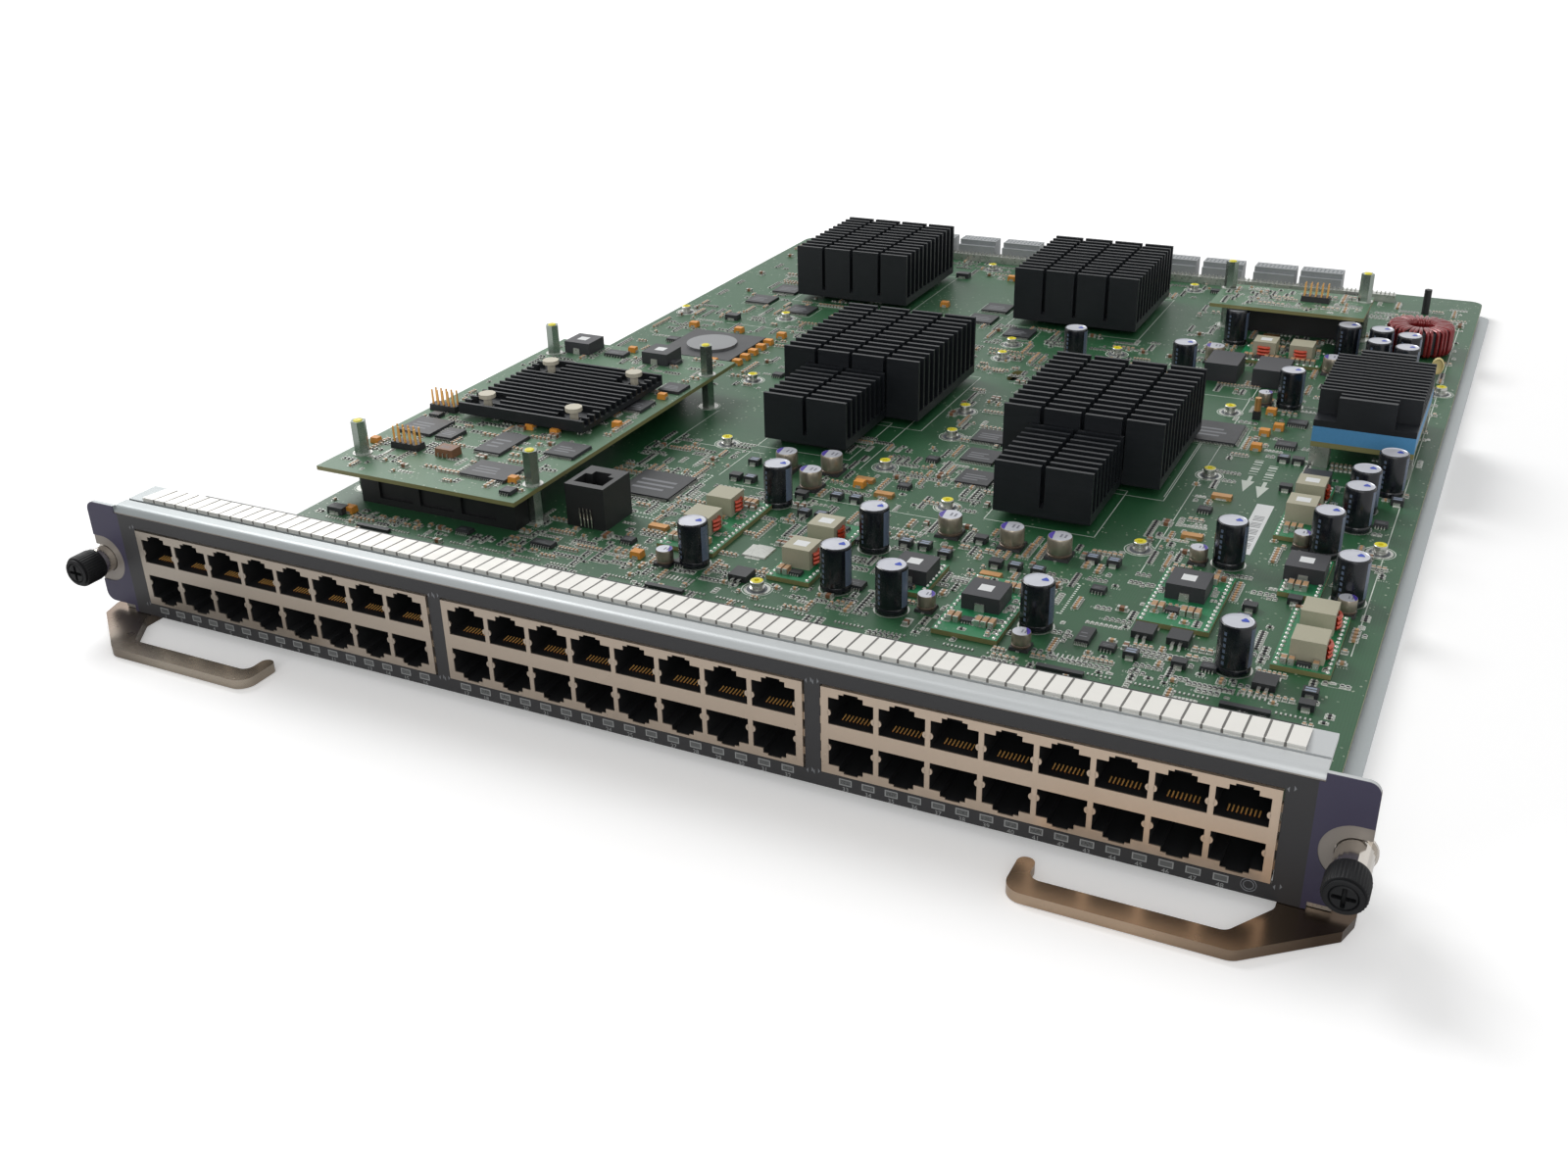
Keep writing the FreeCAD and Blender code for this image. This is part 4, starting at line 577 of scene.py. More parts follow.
def make_cans():
    """Sleeved cans: a rolled shoulder, a bright top with an ink mark, a pale stripe and
    short print marks down the sleeve, and a tinned ring on the board."""
    feet, radius, tall = round_parts("electrolytic_cans")
    piece = Piece("sleeved_cans", "can_sleeve can_top blue_ink sleeve_stripe solder",
                  stands_for=("electrolytic_cans",), slot="can_aluminium")
    rim, sunk, mark = radius * 0.88, tall - 0.25 * MM, tall - 0.2 * MM
    wall = [(0, 0), (radius * 0.93, 0), (radius * 0.93, 0.4 * MM), (radius, 0.9 * MM),
            (radius, 1.6 * MM), (radius * 0.955, 2.1 * MM), (radius, 2.6 * MM),
            (radius, tall - 0.9 * MM), (radius * 0.96, mark), (rim, tall)]
    piece.turn(wall, feet, 24)
    piece.turn([(rim, tall), (radius * 0.84, sunk), (0, sunk)], feet, 24, 1)
    piece.add(band(arc(radius * 0.6, 10, 60, mark, 8), arc(radius * 0.2, 10, 60, mark, 8), feet), 2)
    skin = radius + 0.02 * MM
    stripes = [(-30, 8, 2.6 * MM, tall - 0.9 * MM, 6)]
    stripes += [(-122, -112, low, low + 1.1 * MM, 2) for low in (3.4 + 1.9 * np.arange(6)) * MM]
    for start, stop, low, high, steps in stripes:
        lower, upper = (arc(skin, start, stop, level, steps) for level in (low, high))
        piece.add(band(lower, upper, feet), 3)
    ring = [(radius + wide * MM, rise * MM)
            for wide, rise in ((0.6, 0.01), (0.6, 0.05), (0.05, 0.05), (0.05, 0.01))]
    piece.turn(ring, feet, 24, 4)
    piece.make(soften=35)


def make_polymers():
    """Polymer cans on black feet: bare sides over a copper coloured ring, and a white top
    with two grey marks and a violet part cut off by a chord."""
    piece = Piece("polymer_cans", "polymer_side can_top violet_ink black_moulded solder"
                  " copper_ring grey_ink", stands_for=("polymer_capacitors",),
                  slot="can_aluminium")
    foot = 1.0 * MM
    for low, high in solids("polymer_capacitors"):
        middle = (low + high) / 2
        middle[2] = low[2]
        radius, tall = (high[0] - low[0]) / 2, high[2] - low[2]
        rim, neck = radius * 0.9, foot + 0.7 * MM
        piece.turn([(radius * 0.97, foot), (radius * 0.97, foot + 0.5 * MM), (rim, neck)],
                   middle, 24, 5)
        piece.turn([(rim, neck), (radius * 0.96, foot + 1.1 * MM),
                    (radius * 0.96, tall - 0.5 * MM), (rim, tall)], middle, 24)
        piece.turn([(rim, tall), (0, tall)], middle, 24, 1)
        start, print_height = 130 if radius > 4 * MM else -35, tall + 0.02 * MM
        part = arc(radius * 0.88, start, start + 112, print_height, 10)
        piece.add(copied(part, np.arange(11)[None], middle), 2)
        for share in (0.0, 0.35):
            place = middle + [radius * share, radius * -0.25, print_height]
            piece.sheet(place[:2], place[:2] + radius * np.array([0.16, 0.6]), place[2], 6)
        corner = np.array([radius, radius, 0])
        piece.box(middle - corner, middle + corner + [0, 0, foot], 3, 0.3 * MM)
        tab = np.array([0.5 * MM, radius + 0.5 * MM, 0])
        piece.box(middle - tab, middle + tab + [0, 0, 0.3 * MM], 4)
    piece.make(soften=35)


# ---- Screws ----
def pad_rings(piece, middles, radius, metal, printed):
    """A tinned ring on the board round each middle, inside a printed one."""
    wide, outer, inner = (radius + more * MM for more in (1.9, 2.7, 2.35))
    high, low = 0.05 * MM, 0.03 * MM
    piece.turn([(wide, 0), (wide, high), (0, high)], middles, 28, metal)
    piece.turn([(outer, 0), (outer, low), (inner, low), (inner, 0)], middles, 28, printed)


def make_screws():
    """Board screws: a bright stepped boss with a paint seal, over rings on the board; the dark ring at
    the boss's foot is painted shade.
    """
    feet, radius, tall = round_parts("board_screws")
    tall = (feet[0, 2] + tall - BOARD_TOP) * 1.25
    feet[:, 2] = BOARD_TOP
    piece = Piece("painted_screws", "bright_steel yellow_paint solder white_ink slot_grey",
                  stands_for=("board_screws",), slot="steel")
    pad_rings(piece, feet, radius, 2, 3)
    # Painted shade: a dark grey ring round the boss's foot, where it meets the board.
    dark, pad, cover = radius + 0.9 * MM, 0.05 * MM, 0.07 * MM
    piece.turn([(dark, pad), (dark, cover), (0, cover)], feet, 24, 4)
    head = [(radius, pad), (radius, 0.9 * MM), (radius * 0.74, 1.1 * MM), (radius * 0.74, tall * 0.6),
            (radius * 0.92, tall * 0.66), (radius * 0.88, tall * 0.92), (radius * 0.72, tall)]
    piece.turn(head, feet, 18)
    recess = tall - 0.7 * MM
    seal = [(radius * 0.8, tall * 0.985), (radius * 0.6, tall * 1.03), (radius * 0.35, tall),
            (radius * 0.3, recess), (0, recess)]
    piece.turn(seal, feet, 18, 1)
    piece.make(soften=35)


def make_post_details():
    """Paint on the upper posts' ends, collars at their feet, and the rings where the lower
    ones stand."""
    lows, highs = solid_boxes("hex_spacers")
    piece = Piece("post_paint", "solder yellow_paint white_ink bright_steel")
    middles = (lows + highs) / 2
    radius = (highs - lows)[0, 1] / 2
    lower = lows[:, 2] < BOARD_TOP + 0.5 * MM
    feet, ends = middles[lower], middles[~lower]
    feet[:, 2] = BOARD_TOP
    pad_rings(piece, feet, radius, 0, 2)
    ends[:, 2] = highs[~lower, 2]
    seal = [(radius * 0.72, 0), (radius * 0.62, 0.35 * MM), (radius * 0.3, 0.45 * MM), (0, 0.3 * MM)]
    piece.turn(seal, ends, 14, 1)
    ends[:, 2] = lows[~lower, 2]
    piece.turn([(radius * 1.5, 0), (radius * 1.5, 0.3 * MM), (0, 0.35 * MM)], ends, 20, 3)
    piece.make(soften=35)


# ---- Small parts on the boards ----
PASSIVE_KINDS = (
    # length, width, height, finish number, share of all
    (1.8, 0.9, 0.5, 0, 0.44), (1.8, 0.9, 0.8, 1, 0.22), (1.2, 0.6, 0.4, 4, 0.14),
    (2.2, 1.3, 0.9, 1, 0.10), (3.2, 1.6, 1.3, 2, 0.10),
)
PASSIVE_FINISHES = "resistor_body ceramic_tan ceramic_brown tantalum_body solder white_ink"


def standing_on(level):
    """Plan boxes of every CAD solid whose foot is on a level."""
    found = []
    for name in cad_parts:
        lows, highs = solid_boxes(name)
        foot = (lows[:, 2] < level + 0.4 * MM) & (highs[:, 2] > level + 0.4 * MM)
        found.append(np.concatenate([lows[foot, :2], highs[foot, :2]], axis=1))
    return np.concatenate(found)


def scatter_passives(piece, taken, level, zone, clusters, limit=10):
    """Rows of chip parts: each cluster picks a place, a kind and a direction, and sets its
    parts a little over a width apart, wherever the plan is free. A part is a body between
    two metal ends on pads. Gives what is taken now, and the places of printed marks."""
    x0, y0, x1, y1 = zone
    shares = np.array([kind[4] for kind in PASSIVE_KINDS])
    marks = []

    def slabs(middles, half, tall, number):
        bottom = np.full((len(middles), 1), level)
        piece.box(np.hstack([middles - half, bottom]),
                  np.hstack([middles + half, bottom + tall]), number)

    for _ in range(clusters):
        spot = np.array([draw.uniform(x0, x1), draw.uniform(y0, y1)])
        kind = draw.choice(len(shares), p=shares / shares.sum())
        length, width, tall, number, _ = PASSIVE_KINDS[kind]
        count = int(draw.integers(1, limit if width < 1.5 else 3))
        upright = draw.random() < 0.5
        half = np.array([width, length] if upright else [length, width]) * MM / 2
        step = (width + draw.uniform(0.35, 1.1)) * MM
        way = np.array([step, 0]) if upright else np.array([0, step])
        places = spot + np.arange(count)[:, None] * way
        low, high = places - half - 0.35 * MM, places + half + 0.35 * MM
        inside = ((low > [x0, y0]) & (high < [x1, y1])).all(axis=1)
        clash = ((low[:, None] < taken[None, :, 2:]).all(axis=2)
                 & (high[:, None] > taken[None, :, :2]).all(axis=2)).any(axis=1)
        places = places[inside & ~clash]
        if len(places) == 0:
            continue
        taken = np.concatenate([taken, np.hstack([places - half, places + half])])
        cap = np.array([0, half[1] * 0.5]) if upright else np.array([half[0] * 0.5, 0])
        slabs(places, half - cap, tall * MM * 0.97, number)
        size = np.where(cap > 0, cap / 2, half)
        for sign in (-1, 1):
            ends = places + sign * (half - cap / 2) * (cap > 0)
            slabs(ends, size, tall * MM, 4)
            slabs(ends, size + 0.3 * MM, 0.04 * MM, 4)
        marks.append(places[:1] - way - half)
        if draw.random() < 0.6:
            outline(piece, places.min(axis=0) - half, places.max(axis=0) + half, 0.5 * MM,
                    0.16 * MM, level + PRINT, 5)
    return taken, marks


def add_marks(piece, marks, level):
    """Short printed strokes beside the clusters, like a part's reference."""
    line, wide, tall = 0.16 * MM, 0.5 * MM, 1.0 * MM
    for corner in np.concatenate(marks):
        if draw.random() < 0.45:
            continue
        low = corner + np.arange(int(draw.integers(2, 5)))[:, None] * [0.85 * MM, 0]
        high = low + [wide, tall]
        piece.sheet(low, low + [line, tall], level, 5)
        piece.sheet(low, low + [wide, line], level, 5)
        piece.sheet(high - [wide, line], high, level, 5)


def kept_free():
    """Rectangles around the chips and blocks that have set places, and around the label."""
    rows = [(x, y, (size or USUAL_CHIP)[0] / 2 + 1.0, (size or USUAL_CHIP)[1] / 2 + 1.4)
            for x, y, *size in SMALL_CHIPS]
    rows += [(x, y, extent[0] / 2 + 0.5, extent[1] / 2 + 0.8)
             for _, extent, places in BLOCKS for x, y in places]
    rows.append((131, 220, 10, 46))
    half = np.array(rows)[:, 2:] * MM
    middle = np.array([at(x, y)[:2] for x, y, _, _ in rows])
    return np.hstack([middle - half, middle + half])


EDGE = 999
PASSIVE_ZONES = (
    # sides of a zone in millimetres: X from the middle, Y from the board's front edge, and
    # EDGE at the board's own sides; then how many clusters it gets
    (-100, 76, EDGE, 100, 230), (-EDGE, 76, -90, 96, 130), (-65, 100, 100, 160, 220),
    (-110, 96, -60, 200, 130), (100, 100, EDGE, 210, 190), (-30, 160, 46, 225, 90),
    (105, 210, EDGE, 330, 130), (-EDGE, 255, -90, 495, 260), (-90, 315, 60, 390, 190),
    (60, 330, EDGE, 495, 300), (-90, 462, 60, 495, 90), (-5, 185, 40, 330, 80),
    (-EDGE, 30, EDGE, 76, 170),
)


def make_board_passives():
    """Chip parts over the main board, but for the ground that the mezzanine hides."""
    hidden = np.append(mezz_low[:2] + [5 * MM, 0], mezz_high[:2] - [4 * MM, 0])
    taken = np.concatenate([standing_on(BOARD_TOP), kept_free(), hidden[None]])
    left, front = board_low[:2] + [3 * MM, 0]
    right = board_high[0] - 4 * MM
    piece = Piece("board_passives", PASSIVE_FINISHES)
    every = []
    for x0, y0, x1, y1, clusters in PASSIVE_ZONES:
        zone = (max(x0 * MM, left), front + y0 * MM, min(x1 * MM, right), front + y1 * MM)
        taken, marks = scatter_passives(piece, taken, BOARD_TOP, zone, clusters)
        every += marks
    add_marks(piece, every, BOARD_TOP + PRINT)
    piece.make()


def make_upper_passives():
    """Chip parts on the mezzanine, the daughter board and the converter boards."""
    piece = Piece("upper_passives", PASSIVE_FINISHES)

    def scatter_on(low, high, margin, clusters, limit):
        zone = (*(low[:2] + margin), *(high[:2] - margin))
        return scatter_passives(piece, standing_on(high[2]), high[2], zone, clusters, limit)[1]

    for low, high, clusters in ((mezz_low, mezz_high, 330), (daughter_low, daughter_high, 90)):
        add_marks(piece, scatter_on(low, high, 2.5 * MM, clusters, 8), high[2] + PRINT)
    for low, high in solids("power_module_boards"):
        scatter_on(low, high, MM, 34, 5)
    piece.make()


def leg_rows(piece, low, high, count, reach, sides, width, number):
    """Gull wing legs in rows along the chosen sides: a shoulder against the package, a drop
    and a foot on the board."""
    level, tall = low[2], (high[2] - low[2]) * 0.55
    bars = ((0, 0.5, tall - 0.15 * MM, tall), (0.4, 0.55, 0.05 * MM, tall), (0.4, 1, 0, 0.15 * MM))
    for axis, sign in sides:
        other = 1 - axis
        edge = high[axis] if sign > 0 else low[axis]
        along = np.linspace(low[other], high[other], count + 2)[1:-1]
        near, far = np.zeros((2, count, 3))
        near[:, other], far[:, other] = along - width / 2, along + width / 2
        for start, stop, bottom, top in bars:
            near[:, axis], far[:, axis] = sorted(edge + sign * reach * np.array([start, stop]))
            near[:, 2], far[:, 2] = level + bottom, level + top
            piece.box(near, far, number)


EVERY_SIDE = ((0, -1), (0, 1), (1, -1), (1, 1))
Y_SIDES = ((1, -1), (1, 1))


def outline(piece, low, high, grow, line, level, number):
    """A printed rectangle round a part: four thin strips."""
    a, b = low[:2] - grow, high[:2] + grow
    for start, stop in ((a, (b[0], a[1] + line)), ((a[0], b[1] - line), b),
                        (a, (a[0] + line, b[1])), ((b[0] - line, a[1]), b)):
        piece.sheet(start, stop, level, number)


def make_chip_details():
    """Legs of the leaded packages, bars where their markings would be, the transistors' rear
    tabs, and the printed outlines and long lines of the board."""
    piece = Piece("chip_legs", "solder white_ink label_grey band_grey")
    lift = BOARD_TOP + PRINT
    for low, high in solids("flat_chips"):
        if high[0] - low[0] > 20 * MM:
            count, reach, sides, width, grow = 40, 1.4 * MM, EVERY_SIDE, 0.22 * MM, 2.4 * MM
        else:
            count, reach, sides, width, grow = 20, 1.0 * MM, Y_SIDES, 0.3 * MM, 1.6 * MM
        leg_rows(piece, low, high, count, reach, sides, width, 0)
        outline(piece, low, high, grow, 0.2 * MM, lift, 1)
        bars_on(piece, low, high, 3, 2)
    outline(piece, *corners("processor"), 1.2 * MM, 0.25 * MM, lift, 1)
    for low, high in solids("power_transistors"):
        leg_rows(piece, low, high, 2, 3.4 * MM, ((1, -1),), 1.0 * MM, 0)
        piece.box([low[0] - 0.3 * MM, high[1], low[2]],
                  [high[0] + 0.3 * MM, high[1] + 2.2 * MM, low[2] + 0.25 * MM])
    for number, (low, high) in enumerate(solids("diode_packages")):
        leg_rows(piece, low, high, 1, 1.3 * MM, Y_SIDES, 2.4 * MM, 0)
        size = (high - low)[:2]
        for start in (0.12, 0.55) if number % 3 != 1 else ():
            corner = low[:2] + size * [0.15, start]
            piece.sheet(corner, corner + size * [0.7, 0.26], high[2] + LABEL, 3)
    for sink in ("heatsink_rear", "heatsink_centre", "small_heatsink"):
        for side in ("left", "right"):
            outline(piece, *corners(f"{sink}_{side}"), 2.5 * MM, 0.35 * MM, lift, 1)
    for start, stop in LONG_LINES:
        piece.sheet(at(*start), at(*stop) + 0.35 * MM, lift, 1)
    piece.make()


LONG_LINES = (
    # printed lines that mark out the board's fields: first and last point
    ((-50, 164), (44, 164)), ((107.5, 150), (107.5, 330)), ((-94, 150), (-94, 232)),
    ((-94, 196), (-54, 196)), ((178, 120), (178, 470)), ((-13, 196), (-13, 262)),
    ((99.5, 215), (99.5, 283)), ((-60, 170), (-60, 196)), ((70, 330), (178, 330)),
    ((-150, 345), (-90, 345)), ((108, 330), (108, 480)),
)


def bars_on(piece, low, high, count, number):
    """Faint printed bars on top of a package, where its marking would be."""
    wide, deep = (high - low)[:2]
    for line in range(count):
        start = low[:2] + [wide * 0.14, deep * (0.24 + 0.5 * line / count)]
        stop = start + [wide * draw.uniform(0.45, 0.72), deep * 0.07]
        piece.sheet(start, stop, high[2] + LABEL, number)


# ---- Small leaded chips that stand only here ----
USUAL_CHIP = (5, 4, 1.5, 4)
SMALL_CHIPS = (
    # place on the board; where the chip isn't the usual one also its width, depth and height
    # in millimetres and its legs a side
    (10, 186), (10, 215), (116, 208), (99, 132), (104, 100, 4.6, 9.6, 1.6, 8),
    (131, 308, 8, 6, 1.5, 8), (131, 282, 8, 6, 1.5, 8), (14, 136), (174, 219), (-60, 104),
    (-64, 282, 6, 8, 1.4, 10), (-90, 282), (-100, 366, 8, 6, 1.3, 8), (-160, 310, 6, 5, 1.5, 5),
    (60, 486), (-20, 492, 6, 8, 1.4, 10), (124, 492, 8, 8, 1.4, 9), (26, 104, 7, 5, 1.5, 7),
    (112, 96), (66, 92, 6, 4, 1.5, 6), (-86, 90, 9, 4, 1.4, 8), (-118, 88, 6, 4, 1.4, 6),
    (142, 96, 5, 4, 1.4, 4), (-34, 96),
)
BLOCKS = (
    # finish number, width, depth, height, then the places of the blocks of that kind
    (3, (4.2, 3.6, 2.4), ((-6, 181), (-51, 95), (119, 317), (125, 300), (121, 292),
                          (121, 275), (-115, 290), (-115, 298), (-115, 306), (-115, 314),
                          (-115, 322), (-114, 334), (-137, 334), (-162, 334), (-126, 287),
                          (-168, 86), (-60, 412), (-44, 470), (108, 440))),
    (4, (7.4, 3.4, 1.4), ((-6, 186), (6, 176), (119, 222), (117, 184), (64, 128), (66, 108),
                          (-56, 118), (96, 396), (100, 420))),
    (0, (7, 4.5, 2.6), ((-172, 84), (-150, 352), (-70, 466), (96, 478), (140, 352))),
    (0, (10, 7, 5.5), ((166, 232), (166, 216), (148, 246))),
    (1, (9, 9, 0.5), ((-14.5, 114.5),)),
)


def package(piece, low, high, legs, reach, width, draft, body, metal):
    """A drafted package a little over the board, with its legs in front and behind."""
    if legs:
        leg_rows(piece, low, high, legs, reach, Y_SIDES, width, metal)
    piece.box(low + [0, 0, 0.1 * MM], high, body, draft)


def block_ends(piece, middles, half, shares, drop, number):
    """Silver ends of a row of blocks: boxes that stick out of them by their shares."""
    ends = half * shares
    low = middles - [0, 0, drop]
    piece.box(low - ends, low + ends, number)


def make_small_chips():
    """Drafted packages with their legs, and plain blocks with silver ends on pads."""
    piece = Piece("small_chips", "chip_epoxy solder label_grey tantalum_body crystal_gold")
    for x, y, *size in SMALL_CHIPS:
        wide, deep, tall, legs = size or USUAL_CHIP
        half = mm(wide, deep, 0) / 2
        low, high = at(x, y) - half, at(x, y) + half + [0, 0, tall * MM]
        package(piece, low, high, legs, 1.0 * MM, 0.35 * MM, 0.25 * MM, 0, 1)
        bars_on(piece, low + 0.3 * MM, high - [0.3 * MM, 0.3 * MM, 0], 2, 2)
    for number, extent, places in BLOCKS:
        half = np.array(extent) * MM / 2
        middles = np.array([at(x, y) for x, y in places]) + [0, 0, half[2]]
        pads, floor = half * [0.62, 1.28, 0], middles - [0, 0, half[2]]
        piece.box(floor - pads, floor + pads + [0, 0, 0.06 * MM], 1)
        piece.box(middles - half, middles + half, number, 0.2 * MM)
        block_ends(piece, middles, half, [0.5, 1.06, 0.35], half[2] * 0.55, 1)
    piece.make()


def make_combs():
    """Rows of vias round two chips and a block, and combs of bare joints behind the ports,
    some with a dark strip before them."""
    piece = Piece("joint_combs", "solder chip_epoxy white_ink")
    for x0, y0, x1, y1 in ((-97, 124, -62, 168), (-95, 127, -65, 165), (70, 112, 92, 134)):
        low, high = at(x0, y0), at(x1, y1)
        across, along = (np.arange(low[axis], high[axis], 1.5 * MM) for axis in (0, 1))
        rows = [stack(across, y) for y in (low[1], high[1])]
        rows += [stack(x, along) for x in (low[0], high[0])]
        corner = np.concatenate(rows)
        piece.sheet(corner, corner + 0.8 * MM, BOARD_TOP + 0.04 * MM, 2)

    def comb(x, pitch, y, deep, tall):
        low = at(0, y) + (np.arange(8) - 3.5)[:, None] * [pitch * MM, 0, 0] + [x, 0, 0]
        piece.box(low, low + mm(0.7, deep, tall), 0, 0.1 * MM)

    for x in port_columns():
        comb(x - 0.35 * MM, 1.3, 78.3, 1.2, 0.35)
    for x in (-150, -30, 103, 156):
        comb(x * MM, 1.5, 84, 3.2, 0.3)
        piece.box(at(x - 7, 76), at(x + 7, 78, 1.2), 1)
    piece.make()


MEZZ_CHIPS = (
    # place, width, depth, height in millimetres, legs a side, which sides, finish
    ((-172, 138), (16, 16, 1.2), 0, 0), ((-157, 134), (8, 10, 1.6), 10, 0),
    ((-146, 118), (8, 6, 3.2), 3, 1), ((-133, 134), (12, 20, 1.2), 20, 0),
    ((-120, 110), (20, 14, 1.2), 22, 0), ((-106, 138), (13, 13, 1.2), 14, 0),
    ((-104, 97), (5, 5, 1.5), 4, 0), ((-106, 190), (8, 12, 1.2), 12, 0),
    ((-104, 214), (10, 10, 1.2), 0, 0), ((-122, 243), (8, 6, 1.4), 5, 0),
    ((-176, 150), (5, 4, 1.5), 4, 0), ((-150, 244), (10, 6, 1.4), 6, 0),
)
MEZZ_BLOCKS = ((-180, 118), (-108, 106), (-133, 153), (-121, 152), (-103, 168),
               (-103, 203), (-166, 246), (-146, 251), (-128, 248))


def make_mezz_chips():
    """Leaded chips and orange blocks on the upper board in front of its heatsink."""
    piece = Piece("mezzanine_chips", "chip_epoxy ceramic_brown solder tantalum_body label_grey")
    up = (mezz_high[2] - BOARD_TOP) / MM
    for (x, y), (wide, deep, tall), legs, number in MEZZ_CHIPS:
        half = mm(wide, deep, 0) / 2
        low, high = at(x, y, up) - half, at(x, y, up + tall) + half
        package(piece, low, high, legs, 1.1 * MM, 0.3 * MM, 0.2 * MM, number, 2)
        bars_on(piece, low + 0.5 * MM, high - [0.5 * MM, 0.5 * MM, 0], 3, 4)
    half = mm(1.8, 1.5, 1.1)
    middles = np.array([at(x, y, up + 1.1) for x, y in MEZZ_BLOCKS])
    piece.box(middles - half, middles + half, 3, 0.2 * MM)
    block_ends(piece, middles, half, [1.15, 0.6, 0.4], 0.6 * MM, 2)
    piece.make()


def make_odd_parts():
    """A round yellow capacitor that faces forward at the rear right, a standing crystal with
    a black block at its foot, and the console jack's spring pins."""
    piece = Piece("odd_parts", "black_moulded bright_chrome crystal_gold film_yellow")
    lens = mm((2.2, 0), (2.6, 0.7), (2.1, 1.3), (0, 1.5))
    points, faces = turned(lens, [0, 0, 0], 20)
    points = points[:, [0, 2, 1]] * [1, 1, 1.5] + at(175.5, 386, 6)
    piece.add((points, faces[:, ::-1]), 3)
    piece.turn(mm((0, 0), (1.3, 0), (1.3, 9), (0, 9)), at(114.5, 309), 10, 2)
    piece.box(at(113, 307.5), at(116, 310.5, 3.5))
    low, high = corners("console_jack")
    drop = np.linspace(0, 1, 9)
    for number in range(4):
        x = (low[0] + high[0]) / 2 + (number - 1.5) * 1.5 * MM
        path = stack(x + 0.5 * MM * np.sin(drop * 2.6),
                     low[1] - (0.25 + 0.45 * np.sin(drop * np.pi)) * MM,
                     low[2] + (7.6 - 7.0 * drop) * MM)
        piece.add(tube(path, 0.32 * MM), 1)
    piece.make(soften=50)


# ---- Front: ports, lamps and prints ----
PORT_PITCH = 13.97 * MM
COLUMNS = 8
port_low, port_high = corners("jack_shield_middle")
PORT_MIDDLE = (port_low[2] + port_high[2]) / 2


def block_middles():
    """X of the middle of each of the three blocks of ports."""
    return [sum(corners(f"jack_shield_{name}"))[0] / 2 for name in ("left", "middle", "right")]


def port_columns():
    """X of the middle of every column of ports."""
    steps = (np.arange(COLUMNS) - (COLUMNS - 1) / 2) * PORT_PITCH
    return [x for middle in block_middles() for x in middle + steps]


def make_port_contacts():
    """Eight sprung wires in each port, low on the wide end of the mouth and rising a little
    to the back."""
    piece = Piece("port_contacts", "gold_contact")
    for x in port_columns():
        for row in (-1, 1):
            for number in range(8):
                place = x + (number - 3.5) * 1.02 * MM
                path = [(place, FACE + depth * MM, PORT_MIDDLE + row * rise * MM)
                        for depth, rise in ((2.4, 2.51), (3.6, 2.55), (4.8, 2.69))]
                piece.add(tube(path, 0.19 * MM, 4))
    piece.make()


def make_port_bumps():
    """Half round bumps on both sides of each port, and the sprung tabs that stand between
    the shields and the panel."""
    piece = Piece("shield_tabs", "shield_tin warm_nickel")
    turn = np.radians(np.linspace(-90, 90, 7))
    step = np.arange(6)
    wall = np.stack([step, step + 1, step + 8, step + 7], axis=1)
    fan = np.stack([step, np.full(6, 7), step + 1], axis=1)
    places = np.array([(x, port_low[1], PORT_MIDDLE + rise * MM)
                       for x in port_columns() for rise in (-4.9, 5.6)])
    for side in (-1, 1):
        rim = stack(side * (6.3 - np.cos(turn) * 0.75), 0.0, np.sin(turn) * 0.95) * MM
        piece.add(copied(np.concatenate([rim, rim + [0, 0.4 * MM, 0]]), wall, places))
        hub = np.array([[side * 6.4 * MM, 0, 0]])
        piece.add(copied(np.concatenate([rim, hub]), fan, places))
    wide, _, tall = (port_high - port_low) / 2
    for middle in block_middles():
        for side in (-1, 1):
            for rise in (-0.62, -0.2, 0.2, 0.62):
                place = np.array([middle + side * (wide + 0.2 * MM), FACE, PORT_MIDDLE + rise * tall])
                piece.box(place - mm(0.18, 0.05, 1.1), place + mm(0.18, 1.2, 1.1), 1)
    piece.make()


def add_print(piece, text, x, z, size):
    """A short print on the panel's face: its letters are flat meshes, turned to face forward
    a hair in front of the film."""
    curve = bpy.data.curves.new("letters", "FONT")
    curve.body, curve.size, curve.resolution_u = text, size, 2
    curve.align_x = curve.align_y = "CENTER"
    holder = link_object("letters", curve)
    bpy.context.view_layer.update()
    mesh = bpy.data.meshes.new_from_object(holder)
    mesh.transform(Matrix.Translation((x, FACE - PRINT, z)) @ Matrix.Rotation(math.pi / 2, 4, "X"))
    bpy.data.objects.remove(holder)
    points = np.empty(len(mesh.vertices) * 3, np.float32)
    mesh.vertices.foreach_get("co", points)
    piece.points.append(points.reshape(-1, 3))
    piece.faces += [[index + piece.count for index in face.vertices] for face in mesh.polygons]
    piece.numbers.append(np.zeros(len(mesh.polygons)))
    piece.count += len(mesh.vertices)
    bpy.data.meshes.remove(mesh)


def lamp_places():
    """X of the port lamps, spread along each block's guide, and the run lamp's middle, which
    is the last one of the right block."""
    half = 1.7 * MM
    guides = sorted(solids("light_guides"), key=lambda pair: pair[0][0])
    counts = (2 * COLUMNS, 2 * COLUMNS, 2 * COLUMNS + 1)
    places = np.concatenate([np.linspace(low[0] + half, high[0] - half, count)
                             for (low, high), count in zip(guides, counts)])
    level = (guides[0][0][2] + guides[0][1][2]) / 2
    return places[:-1], np.array([places[-1], FACE, level])


